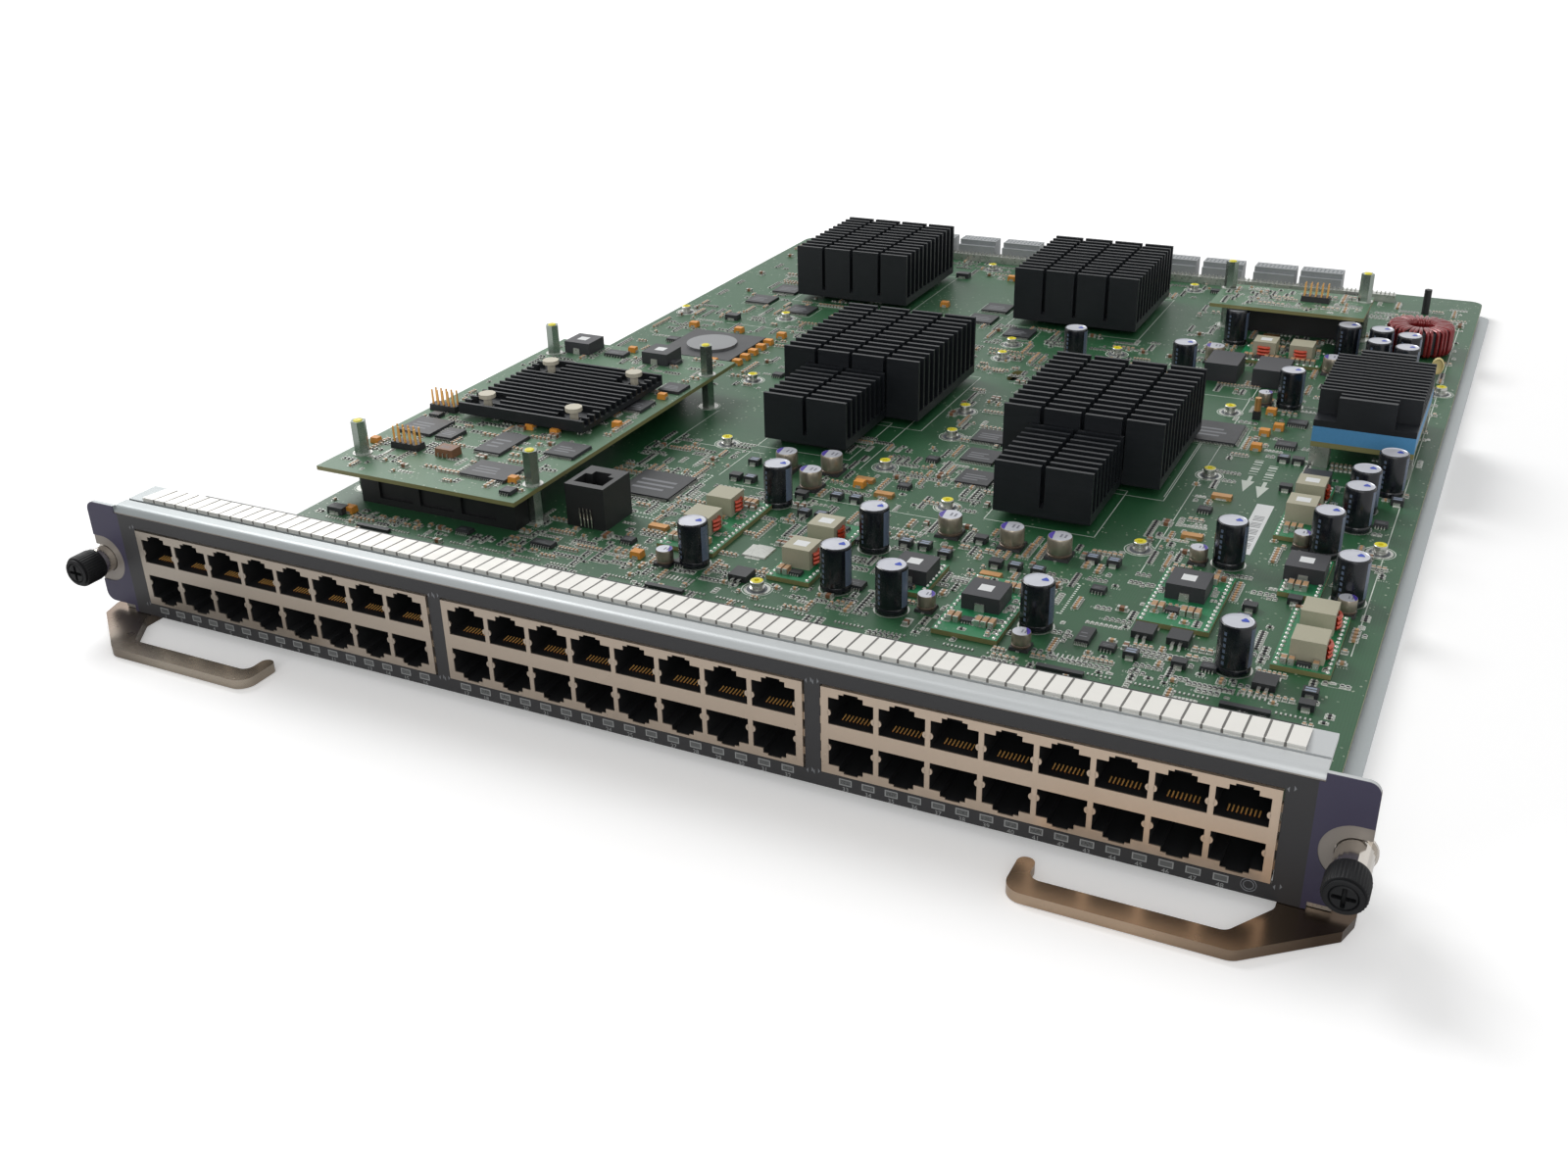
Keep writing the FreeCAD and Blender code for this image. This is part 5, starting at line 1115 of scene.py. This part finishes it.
def make_film_prints():
    """Outlined lamp windows with their port numbers, block arrows and the run lamp's ring."""
    places, run = lamp_places()
    level = run[2]
    piece = Piece("film_prints", "film_ink lamp_clear label_grey")
    half, rise, line = 1.8 * MM, 1.0 * MM, 0.3 * MM
    front, back = FACE - PRINT, FACE + 0.01 * MM
    bars = ((-half, -rise, half, line - rise, 0), (-half, rise - line, half, rise, 0),
            (-half, line - rise, line - half, rise - line, 0),
            (half - line, line - rise, half, rise - line, 0),
            (line - half, line - rise, half - line, rise - line, 1))
    for x in places:
        for x0, z0, x1, z1, number in bars:
            piece.box([x + x0, front, level + z0], [x + x1, back, level + z1], number)
    turn = np.linspace(0, 2 * np.pi, 25)
    for radius in (1.8 * MM, 1.2 * MM):
        ring = stack(run[0] + np.cos(turn) * radius, front, level + np.sin(turn) * radius)
        piece.add(tube(ring, 0.12 * MM, 4), 2)
    beside = (port_high[0] - port_low[0]) / 2 + 1.7 * MM
    for x, up in [(middle + side * beside, up) for middle in block_middles()
                  for side in (-1, 1) for up in (-1, 1)]:
        if abs(x) > film_high[0] - 14 * MM and up < 0:
            continue
        for part in (-1, 1):
            spot = np.array([x + part * 0.5 * MM, front, PORT_MIDDLE + (up * 13.6 + part * 0.25) * MM])
            wing = mm([0, 0, -0.75], [0, 0, 0.75], [part * 0.55, 0, 0])
            piece.add((spot + wing, np.array([[0, 1, 2], [0, 2, 1]])), 2)
    piece.make()
    numbers = Piece("port_numbers", "film_ink")
    for number, x in enumerate(places):
        add_print(numbers, str(number + 1), x, level - 2.15 * MM, 1.9 * MM)
    numbers.make()


# ---- Levers and thumbscrews ----
def make_knobs():
    """Knurled knobs: the rim's radius falls into a groove thirty six times round, and the
    front has a ring groove and a cross recess. They turn with their screws."""
    turn = circle(144)
    teeth = np.clip(np.cos(turn * 36) * 1.6, -1, 1) * 0.5 + 0.5
    rows = (
        # share of the radius, depth behind the front in millimetres, share of the knurl
        (0.7, 0.0, 0.0), (0.8, 0.0, 0.0), (0.84, 0.15, 0.0), (0.84, 0.8, 0.0),
        (0.94, 0.85, 0.0), (1.0, 1.3, 1.0), (1.0, 6.9, 1.0), (0.96, 7.4, 0.0),
        (0.95, 8.2, 0.0), (0.92, 8.2, 0.0), (0.92, 2.0, 0.0), (0.37, 2.0, 0.0))
    for name in ("left", "right"):
        low, high = corners(f"thumbscrew_{name}")
        x, _, z = (low + high) / 2
        radius, front, end = (high[0] - low[0]) / 2, low[1], high[1]
        rings = []
        for share, depth, knurl in rows:
            reach = radius * share - (1 - teeth) * knurl * 0.3 * MM
            rings.append(stack(x + reach * np.cos(turn), front + depth * MM, z + reach * np.sin(turn)))
        piece = Piece(f"knurled_knob_{name}", "knob_black bright_steel", body=f"screw_{name}",
                      stands_for=(f"thumbscrew_{name}",), slot="black_plastic")
        piece.add((np.concatenate(rings), closed_rows(len(rows), len(turn))[:, [0, 3, 2, 1]]))
        piece.add(cross_head(x, z, front, radius))
        wide, start = 2.0 * MM, -(front + 2.0 * MM)
        shank = [(0, -end), (1.8 * MM, -end), (wide, -end + 0.4 * MM), (wide, start), (0, start)]
        points, faces = turned(shank, [0, 0, 0], 20)
        piece.add((points[:, [0, 2, 1]] * [1, -1, 1] + [x, 0, z], faces), 1)
        piece.make(soften=40)


def cross_head(x, z, front, radius):
    """The knob's front face inside the ring groove: a disc on a polar grid whose depth
    drops where either coordinate lies within a slot of the cross."""
    share, angle = np.meshgrid(np.linspace(0, 0.7, 16), circle(96), indexing="ij")
    across, rise = share * np.cos(angle), share * np.sin(angle)
    slot = ((np.abs(across) < 0.09) | (np.abs(rise) < 0.09)) & (share < 0.5)
    groove = np.exp(-((share - 0.6) / 0.03) ** 2)
    depth = slot * 1.3 * MM + groove * 0.5 * MM
    points = np.stack([x + across * radius, front + depth, z + rise * radius], axis=-1)
    return points.reshape(-1, 3), closed_rows(*share.shape)[:, [0, 3, 2, 1]]


# ---- Windings, headers, plugs and labels ----
def make_toroid():
    """Choke wound with wire: each turn is a rounded rectangle round the core's section,
    stepping on by a thirty-fourth of the way round."""
    low, high = corners("toroid_choke")
    middle = (low + high) / 2
    wire, turns, bend = 0.85 * MM, 34, 0.28
    outer, inner = (high[0] - low[0]) / 2 - 2 * wire, 5.0 * MM + 2 * wire
    tall = (high[2] - low[2]) / 2 - 2 * wire
    piece = Piece("wound_choke", "red_wire black_ferrite", stands_for=("toroid_choke",),
                  slot="red_winding")
    section = [(inner, -tall), (outer, -tall), (outer, tall), (inner, tall), (inner, -tall)]
    piece.turn(section, middle, 40, 1)
    around = np.linspace(0, 2 * np.pi, 29)
    cosine, sine = np.cos(around), np.sin(around)
    reach = (outer - inner) / 2 + wire
    radial = (outer + inner) / 2 + reach * np.sign(cosine) * np.abs(cosine) ** bend
    rise = (tall + wire) * np.sign(sine) * np.abs(sine) ** bend
    for number in range(turns):
        turn = 2 * np.pi * number / turns + 0.03 * np.sin(number * 2.4)
        path = middle + stack(radial * np.cos(turn), radial * np.sin(turn), rise)
        piece.add(tube(path, wire * 0.96))
    piece.make(soften=60)


def make_header_pins():
    """Gold pins over the plastic bases of the headers."""
    piece = Piece("header_pins", "gold_contact black_moulded", stands_for=("pin_headers",),
                  slot="brass_gold")
    half = np.array([0.32 * MM, 0.32 * MM, 0])
    places = np.array([(column, row, 0) for column in (-2, -1, 0, 1, 2) for row in (-0.5, 0.5)])
    for low, high in solids("pin_headers"):
        base = low[2] + 2.5 * MM
        piece.box(low, [*high[:2], base], 1, 0.2 * MM)
        pins = [*((low + high)[:2] / 2), base] + places * 2.54 * MM
        piece.box(pins - half, pins + half + [0, 0, high[2] - base], 0, 0.08 * MM)
    piece.make()


def make_plug_details():
    """Slots of the backplane plugs, as dark sheets of painted shade on their tops, and the pins in the
    rails before them.
    """
    piece = Piece("plug_pins", "solder slot_grey")
    for low, high in solids("backplane_plugs"):
        columns = np.linspace(low[0] + 1.2 * MM, high[0] - 1.2 * MM, 10)
        # Painted shade: dark sheets where the plug's slots open.
        for depth in (0.45, 0.7):
            y = low[1] + (high[1] - low[1]) * depth
            start = stack(columns - 0.4 * MM, y - 0.9 * MM)
            piece.sheet(start, start + [0.8 * MM, 1.8 * MM], high[2] + LABEL, 1)
    for low, high in solids("pin_rails"):
        count = int((high[0] - low[0]) / (2.0 * MM))
        x = np.linspace(low[0] + MM, high[0] - MM, count)
        for y in (low[1] + 1.2 * MM, low[1] + 3.2 * MM):
            start = stack(x - 0.35 * MM, y - 0.35 * MM, high[2])
            piece.box(start, start + mm(0.7, 0.7, 1.0), 0, 0.15 * MM)
    piece.make()


def make_choke_details():
    """Copper turns in front of or beside the beige chokes, and pale stickers on some of them
    and on the flat black ones."""
    piece = Piece("choke_windings", "copper_wire label_white")
    bulge = (0.1 + np.array([0, 0.5, 0.8, 0.9, 0.8, 0.5, 0])) * MM
    for low, high in solids("beige_chokes"):
        axis = 0 if low[1] > FACE + 300 * MM else 1
        along = np.linspace(low[axis] + 2.5 * MM, high[axis] - 2.5 * MM, 7)
        for turn in range(3):
            level = low[2] + (1.6 + 1.5 * turn) * MM
            plan = (along, low[1] - bulge) if axis == 0 else (high[0] + bulge, along)
            piece.add(tube(stack(*plan, level), 0.7 * MM))
        edge = mm(2.6, 3.0)
        if round(high[0] / MM) % 3 == 0:
            piece.sheet(low[:2] + edge, high[:2] - edge, high[2] + LABEL, 1)
    for low, high in solids("flat_chokes"):
        wide = (high - low)[:2]
        start = low[:2] + wide * [0.3, 0.35]
        piece.sheet(start, start + wide * [0.36, 0.34], high[2] + LABEL, 1)
    piece.make(soften=50)


def make_gasket_slit_shade():
    """Painted shade: dark strips over the gaps between the gasket's fingers, sloping as the fingers do,
    for the shade in the gaps.
    """
    piece = Piece("gasket_slit_shade", "gasket_slit_shade")
    pitch, wide = 4.57 * MM, 0.6 * MM
    slope = mm([-0.1, -0.04, 0], [-0.1, -0.04, 1.08], [-0.1, 9.9, 0.33])
    strip = np.concatenate([slope, slope + [wide, 0, 0]]) + [0, 0, 0.02 * MM]
    faces = np.array([[0, 3, 4, 1], [1, 4, 5, 2]])
    for low, high in solids("gasket_strips"):
        count = int((high[0] - low[0]) / pitch)
        steps = np.arange(1, count) * (high[0] - low[0]) / count
        piece.add(copied(strip, faces, low + steps[:, None] * [1, 0, 0]))
    piece.make()


def make_module_parts():
    """Driver chips and stacked ceramics in front of and behind each converter's chokes, and
    the flat chokes' front terminals."""
    piece = Piece("module_parts", "chip_epoxy ceramic_tan solder")
    chokes = solids("beige_chokes", "flat_chokes")
    cap = 0.5 * MM
    for low, high in solids("power_module_boards"):
        inside = [pair for pair in chokes
                  if (pair[0][:2] > low[:2] - MM).all() and (pair[1][:2] < high[:2] + MM).all()]
        if not inside:
            continue
        first = min(pair[0][1] for pair in inside)
        last = max(pair[1][1] for pair in inside)
        for start, stop in ((low[1] + 1.2 * MM, first - 0.5 * MM),
                            (last + 0.5 * MM, high[1] - 1.2 * MM)):
            depth = min(stop - start, 4.2 * MM)
            if depth < 2.0 * MM:
                continue
            y, x, stop_x = (start + stop) / 2 - depth / 2, low[0] + 2.4 * MM, high[0] - 2.2 * MM
            number = 0
            while x + 2.0 * MM < stop_x:
                chip = number % 4 == 2 and x + 4.4 * MM < stop_x
                wide, tall = (4.2 * MM, 1.2 * MM) if chip else (1.7 * MM, 2.0 * MM)
                corner = np.array([x, y, high[2]])
                top = corner + [wide, depth, tall]
                if chip:
                    inner = [0, cap, 0.1 * MM]
                    leg_rows(piece, corner + inner, top - inner, 4, cap, Y_SIDES, 0.4 * MM, 2)
                    piece.box(corner + inner, top - inner, 0, 0.15 * MM)
                else:
                    piece.box(corner + [0.05 * MM, 0.45 * MM, -0.05 * MM],
                              top - [0.05 * MM, 0.45 * MM, 0], 1)
                    piece.box(corner, [top[0], corner[1] + cap, top[2]], 2)
                    piece.box([corner[0], top[1] - cap, corner[2]], top, 2)
                x += wide + 0.5 * MM
                number += 1
    for low, high in solids("flat_chokes"):
        wide = high[0] - low[0]
        piece.box([low[0] + wide * 0.36, low[1] - 0.5 * MM, low[2]],
                  [low[0] + wide * 0.62, low[1] + 0.2 * MM, low[2] + 2.6 * MM], 2, 0.15 * MM)
    piece.make()


def make_module_pads():
    """Rows of solder joints along both long edges of each converter board."""
    piece = Piece("module_pads", "solder")
    bead = mm((0.75, 0), (0.62, 0.3), (0.3, 0.5), (0, 0.52))
    for low, high in solids("power_module_boards"):
        long_axis = 1 if high[1] - low[1] > high[0] - low[0] else 0
        count = int((high[long_axis] - low[long_axis]) / (2.6 * MM))
        places = np.full((count, 3), high[2])
        places[:, long_axis] = np.linspace(low[long_axis] + 1.4 * MM, high[long_axis] - 1.4 * MM, count)
        for edge in (low[1 - long_axis] + 1.2 * MM, high[1 - long_axis] - 1.2 * MM):
            places[:, 1 - long_axis] = edge
            piece.turn(bead, places, 8)
    piece.make(soften=60)


def make_board_prints():
    """White label strip with plain grey lines, and two flow arrows, each before a row of
    marks."""
    piece = Piece("board_labels", "label_white white_ink label_grey")
    lift = BOARD_TOP + 0.06 * MM
    low, high = at(131.6, 178), at(137.6, 222, 0.06)
    piece.box(low, high)
    for number in range(24):
        if number % 5 == 4:
            continue
        start = low[:2] + mm(1.2, 5 + number * 1.2)
        piece.sheet(start, start + mm(3.6, 0.5), lift + LABEL, 2)
    arrow = mm([0, 0, 0], [2.2, 11, 0], [-2.6, 11, 0])
    tail = mm([-0.7, 11, 0], [0.7, 11, 0], [0.7, 16, 0], [-0.7, 16, 0])
    for x, y in ((124.6, 231), (130.6, 227)):
        tip = at(x, y, 0.06)
        piece.add((tip + arrow, np.array([[0, 1, 2]])), 1)
        piece.add((tip + tail, np.array([[0, 1, 2, 3]])), 1)
        for number in range(7):
            start = tip[:2] + mm(-1.6, 18 + number * 2.4)
            piece.sheet(start, start + mm(3.2, 0.5 + number % 3 * 0.5), lift, 1)
    piece.make()


make_cans()
make_polymers()
make_screws()
make_post_details()
make_board_passives()
make_upper_passives()
make_chip_details()
make_small_chips()
make_mezz_chips()
make_odd_parts()
make_combs()
make_port_contacts()
make_port_bumps()
make_film_prints()
make_knobs()
make_toroid()
make_header_pins()
make_plug_details()
make_choke_details()
make_module_pads()
make_module_parts()
make_gasket_slit_shade()
make_board_prints()


# ---- Floor, light and camera ----
def make_floor():
    """Pale floor that holds the card's shadow; its glow grows with the distance from the
    card, so that it falls away to white."""
    reach = 6.0
    mesh = bpy.data.meshes.new("floor")
    mesh.from_pydata([(-reach, -reach, 0), (reach, -reach, 0), (reach, reach, 0), (-reach, reach, 0)],
                     [], [(0, 1, 2, 3)])
    material, nodes, shader = new_material("floor_paper")
    nodes.fill(shader, {"Base Color": (0.9, 0.9, 0.9, 1), "Roughness": 0.9, "Specular IOR Level": 0.1})
    paper = shader["Base Color"].node.outputs[0]
    away = nodes.node("ShaderNodeVectorMath", {0: nodes.place()}, operation="LENGTH")
    strength = nodes.span(away.outputs["Value"], 0.3, 0.9, 0.24, 1.0)
    glow = nodes.node("ShaderNodeEmission", {"Color": (1, 1, 1, 1), "Strength": strength})
    both = nodes.node("ShaderNodeAddShader", {0: paper, 1: glow.outputs[0]})
    path = nodes.node("ShaderNodeLightPath")
    seen = nodes.pick(path.outputs["Is Camera Ray"], paper, both.outputs[0])
    nodes.put(material.node_tree.nodes["Material Output"].inputs["Surface"], seen)
    mesh.materials.append(material)
    link_object("floor", mesh)


def make_world():
    """Soft white light all round, behind a background that is seen as plain white."""
    world = bpy.data.worlds.new("studio")
    bpy.context.scene.world = world
    world.use_nodes = True
    world.node_tree.nodes.clear()
    nodes = Nodes(world.node_tree)
    soft, white = (nodes.node("ShaderNodeBackground", {"Color": (1, 1, 1, 1), "Strength": power})
                   for power in (0.42, 1.0))
    path = nodes.node("ShaderNodeLightPath")
    through = nodes.maths("MAXIMUM", path.outputs["Is Glossy Ray"], path.outputs["Is Transmission Ray"])
    seen = nodes.maths("MAXIMUM", path.outputs["Is Camera Ray"], through)
    shown = nodes.pick(seen, soft.outputs[0], white.outputs[0])
    nodes.node("ShaderNodeOutputWorld", {"Surface": shown})


def unit(vector):
    """A vector scaled to a length of one."""
    return vector / np.linalg.norm(vector)


def set_pose(thing, right, up, back, place):
    """Stand a light or a camera at a place, looking away from its back."""
    thing.matrix_world = Matrix([[right[i], up[i], back[i], place[i]] for i in range(3)]
                                + [[0, 0, 0, 1]])


def make_lamp(name, place, aim, wide, power):
    """A square area lamp at a place, turned to its aim."""
    light = bpy.data.lights.new(name, "AREA")
    light.shape, light.size, light.energy = "SQUARE", wide, power
    back = unit(np.array(place, float) - np.array(aim, float))
    side = unit(np.cross([0.0, 0.0, 1.0], back))
    set_pose(link_object(name, light), side, np.cross(back, side), back, place)


CAMERA_PLACE = np.array([0.207673, -0.566614, 0.232577])
CAMERA_TURN, CAMERA_DIP, CAMERA_ROLL = -0.4681, 0.466, 0.0256
CAMERA_LENS = 35.397


def make_camera():
    """Camera from its place and three angles: the heading about Z, the dip below the horizon
    and the roll about the line of sight."""
    camera = bpy.data.cameras.new("camera")
    camera.lens = CAMERA_LENS
    camera.sensor_width = 36.0
    camera.clip_start, camera.clip_end = 0.01, 20.0
    thing = link_object("camera", camera)
    ahead = np.array([math.sin(CAMERA_TURN) * math.cos(CAMERA_DIP),
                      math.cos(CAMERA_TURN) * math.cos(CAMERA_DIP), -math.sin(CAMERA_DIP)])
    right = unit(np.cross(ahead, [0.0, 0.0, 1.0]))
    down = np.cross(ahead, right)
    level = math.cos(CAMERA_ROLL) * right + math.sin(CAMERA_ROLL) * down
    drop = -math.sin(CAMERA_ROLL) * right + math.cos(CAMERA_ROLL) * down
    set_pose(thing, level, -drop, -ahead, CAMERA_PLACE)
    bpy.context.scene.camera = thing


make_floor()
make_world()
make_lamp("key", (-1.35, 0.6, 1.35), (0.0, 0.0, 0.0), 0.9, 26.0)
make_lamp("front", (0.5, -1.8, 0.8), (0.0, -0.1, 0.0), 1.2, 10.0)
make_camera()
bpy.context.scene.view_settings.view_transform = "Standard"
